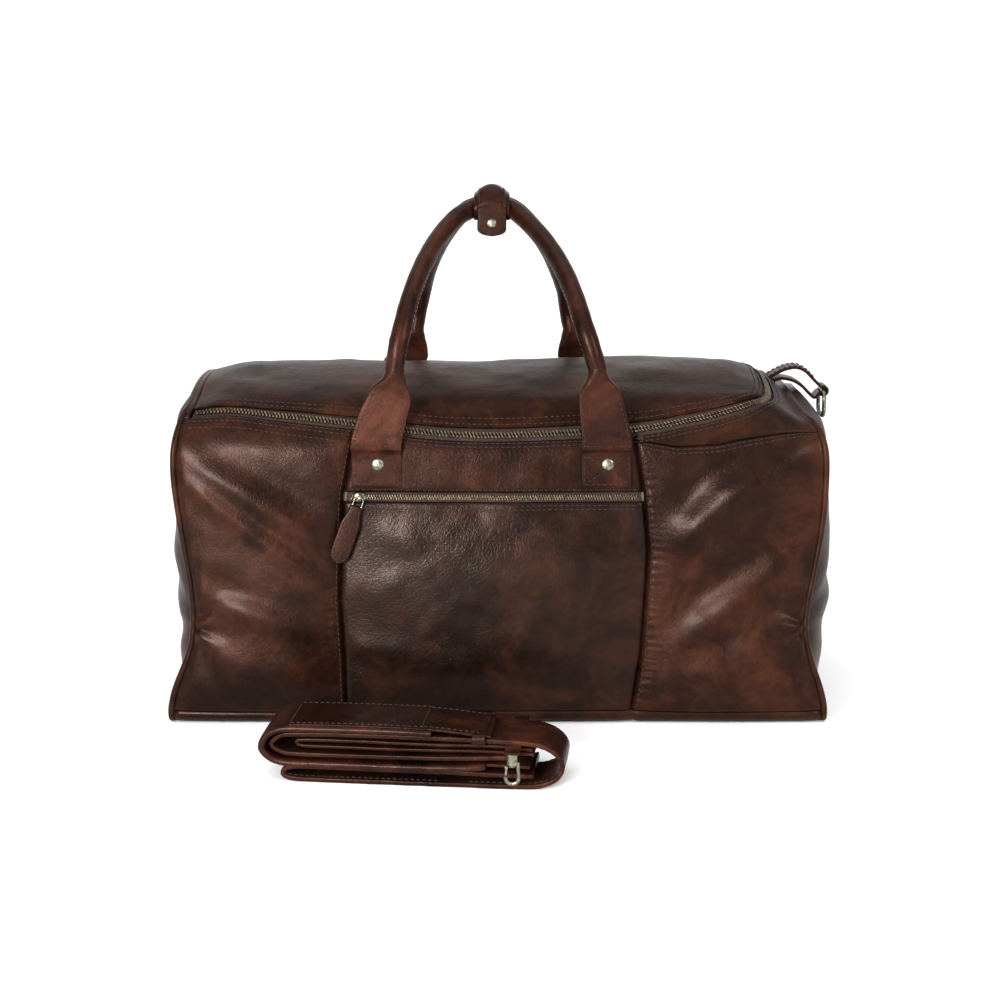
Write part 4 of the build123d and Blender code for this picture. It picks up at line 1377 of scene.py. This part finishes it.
def pulls():
    for word, ring_long, tag_long, tag_half in (("pocket", 12.0, 50.0, 8.2), ("main", 10.5, 40.0, 7.4)):
        pivot = mm(JOINTS[f"{word}_pull_swing"]["pos_m"])
        down, normal = pull_directions(word)
        across = np.cross(down, normal)
        lift = 0.3

        def place(u, v, w):
            return pivot + across * u + down * v + normal * (w + lift)

        parts = slider_mesh(pivot - normal * SLIDER_LIFT, X_AXIS, normal)
        shell = merged(f"{word}_slider_body", parts, HARDWARE, f"{word}_slider")
        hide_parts(f"{word}_slider")

        loop = rounded_loop(7.6, ring_long, 2.6)
        wire = [place(u, v, -lift) for u, v in loop]
        hoop = tube(f"{word}_pull_hoop", wire, 0.85, HARDWARE, f"{word}_pull", closed=True, around=10)
        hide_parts(f"{word}_pull_ring")

        tag_top = ring_long - 4.5
        (verts, faces), d, a = tag_mesh(place, tag_top, tag_long, tag_half, 1.5)
        tag = make(f"{word}_pull_leather", verts, faces, TRIM, f"{word}_pull")
        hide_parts(f"{word}_pull_tag")
        thread = Stitches(f"{word}_pull_stitches", f"{word}_pull", THREAD)
        edge_in = 1.9
        left = [(-(w - edge_in), v) for v, w in zip(d, a) if w > edge_in + 1.2 and v > 1.5]
        right = [(-u, v) for u, v in left][::-1]
        loop = resample(np.array(left + right, float), 0.8)
        line = np.array([place(u, tag_top + v, 1.95) for u, v in loop])
        thread.run(line, np.broadcast_to(normal, line.shape))
        sewn = thread.finish()


pulls()


# ------------------------------------------------------------------ stitching on the bag
def bag_stitches():
    """Rows beside the zip, the seams, the pocket zip, the gusset and the base, and round the lid."""
    bag = Stitches("bag_stitches", "bag", THREAD)
    for offset in (ZIP_SLOT + 2.2, ZIP_SLOT + 5.4):
        line = zip_line(offset, 1500)
        bag.skin_run(line[:, 0], line[:, 1])
    seam_s = np.linspace(-girth(244.0), -girth(14.0), 500)
    for side in (-1, 1):
        bag.skin_run(side * (SEAM_X + 3.2), seam_s)
    for z in (YOKE_LOW_Z + 2.6, POCKET_TOP_Z - 2.8, POCKET_TOP_Z - 6.0):
        bag.skin_run(np.linspace(-SEAM_X + 4, SEAM_X - 4, 500), -girth(z))
    x = np.linspace(SEAM_X + 5, PIPING_X - 8, 300)
    for drop in (2.4, 5.6):
        bag.skin_run(x, gusset_edge(x) - drop)
    x = np.linspace(-PIPING_X + 8, -SEAM_X - 8, 300)
    bag.skin_run(x, zip_edge(x) - 11.5)
    bag.skin_run(np.linspace(-PIPING_X + 8, PIPING_X - 8, 900), girth(18.0))
    sewn = bag.finish()

    top = Stitches("lid_stitches", None, THREAD)
    for offset in (ZIP_SLOT + 2.4, ZIP_SLOT + 7.4):
        line = zip_line(-offset, 1500)
        line = line[line[:, 0] > LID_HINGE[0] + 20]
        for part in (line[line[:, 1] < 0], line[line[:, 1] >= 0]):
            top.skin_run(part[:, 0], part[:, 1])
    sewn = top.finish()
    bend_lid(sewn)


bag_stitches()


# ------------------------------------------------------------------ linings
CLOTH = 0.5


def linings():
    """Loose cloth bag inside the leather, open at the zip, and the pocket's own lining."""
    edge = PIPING_X - 9
    top = ZIP_S + 14
    s = np.concatenate([-np.linspace(top, S_END, 90), np.linspace(S_END, top, 90)[1:]])
    xs, ss = np.meshgrid(np.linspace(-edge, edge, 120), s)
    folds = 0.9 * noise(xs, ss, 0 * xs, 26, 61) + 0.5 * noise(xs * 2, ss, 0 * xs, 18, 62)
    outer = skin(xs, ss, -4.4 - np.abs(folds))
    inner = skin(xs, ss, -4.4 - CLOTH - np.abs(folds))
    outer[..., 2] = np.maximum(outer[..., 2], 7.4)
    inner[..., 2] = outer[..., 2] + CLOTH
    wall = slab_from_grid("lining_walls", outer, inner, LINING, "bag")
    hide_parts("lining")
    for side in (-1, 1):
        rim = skin(side * edge, -np.linspace(S_BASE, S_CROWN * 0.35, 90), -4.6)
        v = np.linspace(-1, 1, 60)
        y = np.abs(rim[:, 1:2]) * v[None]
        z = np.maximum(np.broadcast_to(rim[:, 2:3], y.shape), 7.5)
        x = np.broadcast_to(rim[:, :1], y.shape) + side * 0.7 * noise(y, z, 0 * z, 30, 64)
        outer = np.stack([x, y, z], axis=-1)
        inner = outer - np.array([side * CLOTH, 0, 0])
        end = slab_from_grid(f"lining_end_{'right' if side > 0 else 'left'}", outer, inner, LINING, "bag")
    xs, ss = sheet_grid((-SEAM_X + 3, SEAM_X - 3), level(POCKET_TOP_Z - 9), level(BASE_SEAM_Z + 12), 70, 60)
    pocket = cloth_sheet("pocket_lining_cloth", xs, ss, 3.0, CLOTH, LINING, "bag")
    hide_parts("pocket_lining")


linings()


# ------------------------------------------------------------------ folded shoulder strap
STRAP_TURN = radians(-6)
STRAP_CENTRE = np.array((-70.0, -252.0))
STRAP_BODY = "shoulder_strap"
STRAP_WIDTH = 54.0


def on_strap(points):
    """From the folded strap's own frame (along, across, up) to the bag's frame."""
    points = np.asarray(points, float)
    x, y = points[..., 0], points[..., 1]
    return np.stack([STRAP_CENTRE[0] + x * cos(STRAP_TURN) - y * sin(STRAP_TURN),
                     STRAP_CENTRE[1] + x * sin(STRAP_TURN) + y * cos(STRAP_TURN), points[..., 2]], axis=-1)


class Ribbon:
    """Leather ribbon lying on edge along a path of (along, up) points."""

    def __init__(self, points, width, thick, count, seed, corner=0.9, end_width=None):
        path = curve_through(points, count)
        share = np.ones(count) if end_width is None else end_width(np.linspace(0, 1, count))
        self.half = share * width / 2
        self.thick, self.corner, self.seed = thick, corner, seed
        self.flat = np.stack([path[:, 0], np.zeros(count), path[:, 1]], axis=1)
        self.across, up = band_frame(self.flat, Y_AXIS)
        self.up = unit(up)

    def mesh(self, crown=0.3):
        ones = np.ones(len(self.flat))
        sizes = np.stack([self.half, self.thick / 2 * ones, self.corner * ones], axis=1)
        verts, faces = loft_mesh(self.flat, self.across, self.up, sizes,
                                 wrinkle=0.18, seed=self.seed, crown=crown)
        return on_strap(verts), faces

    def edge_line(self, inset, face, side, start=0.0, end=1.0):
        """Line along one face near one edge, with its normals."""
        n = len(self.flat)
        keep = slice(int(start * n), int(end * n))
        points = self.flat + self.up * face * (self.thick / 2 + 0.35)
        points = points + self.across * (side * (self.half[:, None] - inset))
        tip = on_strap(points + self.up * face)
        points = on_strap(points)
        return points[keep], unit(tip - points)[keep]


def pad_end(t):
    """Share of the pad's width: its first end is rounded in."""
    low = np.sqrt(np.clip(1 - (1 - np.clip(t / 0.05, 0, 1)) ** 2, 0.05, 1))
    return 0.88 + 0.12 * low


def folded_strap():
    width = STRAP_WIDTH
    main = Ribbon([(78, 25.5), (30, 23.2), (-40, 22.6), (-86, 22.8), (-99, 24.5), (-106.3, 30.2), (-99, 37.0),
                   (-86, 38.8), (-40, 39.5), (10, 39.3), (50, 38.9), (90, 37.6), (106, 35.4), (117, 29),
                   (121.5, 20), (117.5, 10.5), (106, 4.2), (88, 2.4), (40, 2.2), (-30, 2.2), (-82, 2.4),
                   (-95, 4.2), (-97.5, 8.0), (-93, 11.4), (-80, 12.8), (-30, 12.4), (30, 12.0), (90, 11.0),
                   (99, 11.4)],
                  width, 3.6, 420, 70)
    tail = Ribbon([(99, 27.6), (60, 28.6), (0, 27.8), (-60, 28.2), (-82, 28.4), (-86.5, 30.8), (-82, 33.1),
                   (-40, 33.4), (20, 32.6), (70, 33.2), (98, 31.2)], width - 8, 2.8, 220, 72)
    filler = Ribbon([(96, 17.6), (60, 18.4), (10, 17.0), (-40, 17.6), (-72, 17.4), (-76, 17.4)],
                    width - 4, 2.6, 120, 74)
    for node, name, ribbons in (("strap_leather", "shoulder_strap_leather", [main, filler]),
                                ("strap_tail", "shoulder_strap_tail", [tail])):
        piece = merged(name, [r.mesh() for r in ribbons], STRAP, STRAP_BODY)
        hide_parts(node)

    # shoulder pad: a thick cushion that wraps round the left fold
    pad = Ribbon([(62, 17.6), (40, 16.4), (0, 15.8), (-60, 15.8), (-90, 16.0), (-104, 18.4), (-112.4, 25),
                  (-113.2, 31), (-108, 39), (-97, 43.4), (-80, 44.2), (-40, 44.4), (0, 44.2), (20, 43.4)],
                 61, 5.4, 260, 76, corner=2.6, end_width=pad_end)
    cushion = merged("shoulder_pad", [pad.mesh(crown=0.5)], STRAP, STRAP_BODY)
    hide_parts("strap_pad")

    # facing on top of the pad, and the turned strip that leaves it to the right
    facing = Ribbon([(-92, 47.0), (-60, 47.6), (-20, 47.6), (8, 47.2), (16, 46.8)], 57, 1.2, 90, 78)
    band = Ribbon([(12, 46.6), (30, 45.4), (52, 43.2), (66, 42.0)], width, 2.2, 60, 80)
    cover = merged("shoulder_pad_facing", [facing.mesh(crown=0.2), band.mesh(crown=0.2)], STRAP, STRAP_BODY)

    high, middle_z = 7.0, 40.2
    keeper = [(57, y, middle_z - high / 2 + down) for y, down in rounded_loop(width + 7, high, 2.6, 60)]
    keeper = np.array(keeper + keeper[:1])
    across, up = band_frame(keeper, X_AXIS)
    verts, faces = loft_mesh(keeper, across, unit(up), np.tile([5.0, 0.9, 0.6], (len(keeper), 1)))
    loop = make("shoulder_strap_keeper", on_strap(verts), faces, STRAP, STRAP_BODY)
    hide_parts("strap_keeper")

    loops = []
    for side in (-1, 1):
        path = [(84, side * (40 + out), z) for out, z in ((-19, 35.6), (-10, 35.6), (0, 35.6), (5.4, 35.4))]
        path = curve_through(path, 26)
        across, up = band_frame(path, X_AXIS)
        verts, faces = loft_mesh(path, across, unit(up), np.tile([6.0, 0.8, 0.6], (26, 1)), wrinkle=0.1)
        loops.append((on_strap(verts), faces))
    piece = merged("shoulder_strap_hook_loops", loops, STRAP, STRAP_BODY)
    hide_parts("strap_hook_loops")

    thread = Stitches("shoulder_strap_stitches", STRAP_BODY, THREAD)
    for side in (-1, 1):
        thread.run(*main.edge_line(3.2, 1, side, 0.30, 0.60))
        thread.run(*main.edge_line(3.2, 1, side, 0.62, 0.92))
        for ribbon in (facing, band):
            thread.run(*ribbon.edge_line(3.0, face_up(ribbon), side))
    for ribbon, share in ((facing, 0.02), (facing, 0.97)):
        k = int(share * (len(ribbon.flat) - 1))
        up = ribbon.up[k] * face_up(ribbon)
        line = np.array([ribbon.flat[k] + up * 0.9 + np.array((0, y, 0)) for y in np.linspace(-25, 25, 60)])
        thread.run(on_strap(line), np.broadcast_to(up, line.shape))
    sewn = thread.finish()


def face_up(ribbon):
    """Which face of a ribbon looks up, halfway along."""
    return 1 if ribbon.up[len(ribbon.up) // 2][2] > 0 else -1


folded_strap()


# ------------------------------------------------------------------ stage, lights and camera
def stage():
    """White paper: a floor that rises behind the bag. Its sizes, like the lights', are in metres."""
    mesh = bpy.data.meshes.new("floor")
    size, back, up = 60.0, 2.2, 4.0
    verts = [(-size, -size, 0), (size, -size, 0), (size, back, 0), (-size, back, 0),
             (size, back + 1, up), (-size, back + 1, up)]
    mesh.from_pydata(verts, [], [(0, 1, 2, 3), (3, 2, 4, 5)])
    floor = bpy.data.objects.new("floor", mesh)
    bpy.context.collection.objects.link(floor)
    n = Nodes("floor_paper")
    n.shader.inputs["Base Color"].default_value = (0.93, 0.93, 0.93, 1)
    n.shader.inputs["Roughness"].default_value = 0.9
    mesh.materials.append(n.material)


def area_light(name, place, target, size, power, size_y):
    data = bpy.data.lights.new(name, "AREA")
    data.shape = "RECTANGLE"
    data.size = size
    data.size_y = size_y
    data.energy = power
    light = bpy.data.objects.new(name, data)
    light.location = place
    light.rotation_euler = (Vector(target) - Vector(place)).to_track_quat("-Z", "Y").to_euler()
    light.visible_camera = False
    bpy.context.collection.objects.link(light)


def studio():
    world = bpy.data.worlds.new("studio")
    world.use_nodes = True
    background = world.node_tree.nodes["Background"]
    background.inputs["Color"].default_value = (1, 1, 1, 1)
    background.inputs["Strength"].default_value = 0.40
    bpy.context.scene.world = world
    area_light("key", (-0.66, -1.60, 0.46), (-0.1, -0.12, 0.16), 0.42, 46, 0.5)
    area_light("window", (1.25, -1.35, 0.85), (0.15, -0.12, 0.18), 0.3, 20, 0.7)
    area_light("top", (0, 0.3, 2.4), (0, 0, 0.2), 2.4, 10, 1.6)
    data = bpy.data.lights.new("sky", "SUN")
    data.energy = 1.75
    data.angle = radians(80)
    sky = bpy.data.objects.new("sky", data)
    sky.rotation_euler = (radians(24), 0, 0)
    bpy.context.collection.objects.link(sky)


CAMERA_PLACE = (0.0, -1.751, 0.540)
CAMERA_PITCH = 12.0
CAMERA_LENS = 72.0


def camera():
    data = bpy.data.cameras.new("camera")
    data.lens = CAMERA_LENS
    data.sensor_width = 36
    eye = bpy.data.objects.new("camera", data)
    eye.location = CAMERA_PLACE
    eye.rotation_euler = (radians(90 - CAMERA_PITCH), 0, 0)
    bpy.context.collection.objects.link(eye)
    bpy.context.scene.camera = eye


stage()
studio()
camera()
bpy.context.scene.view_settings.view_transform = "Standard"
bpy.context.scene.view_settings.gamma = 0.9
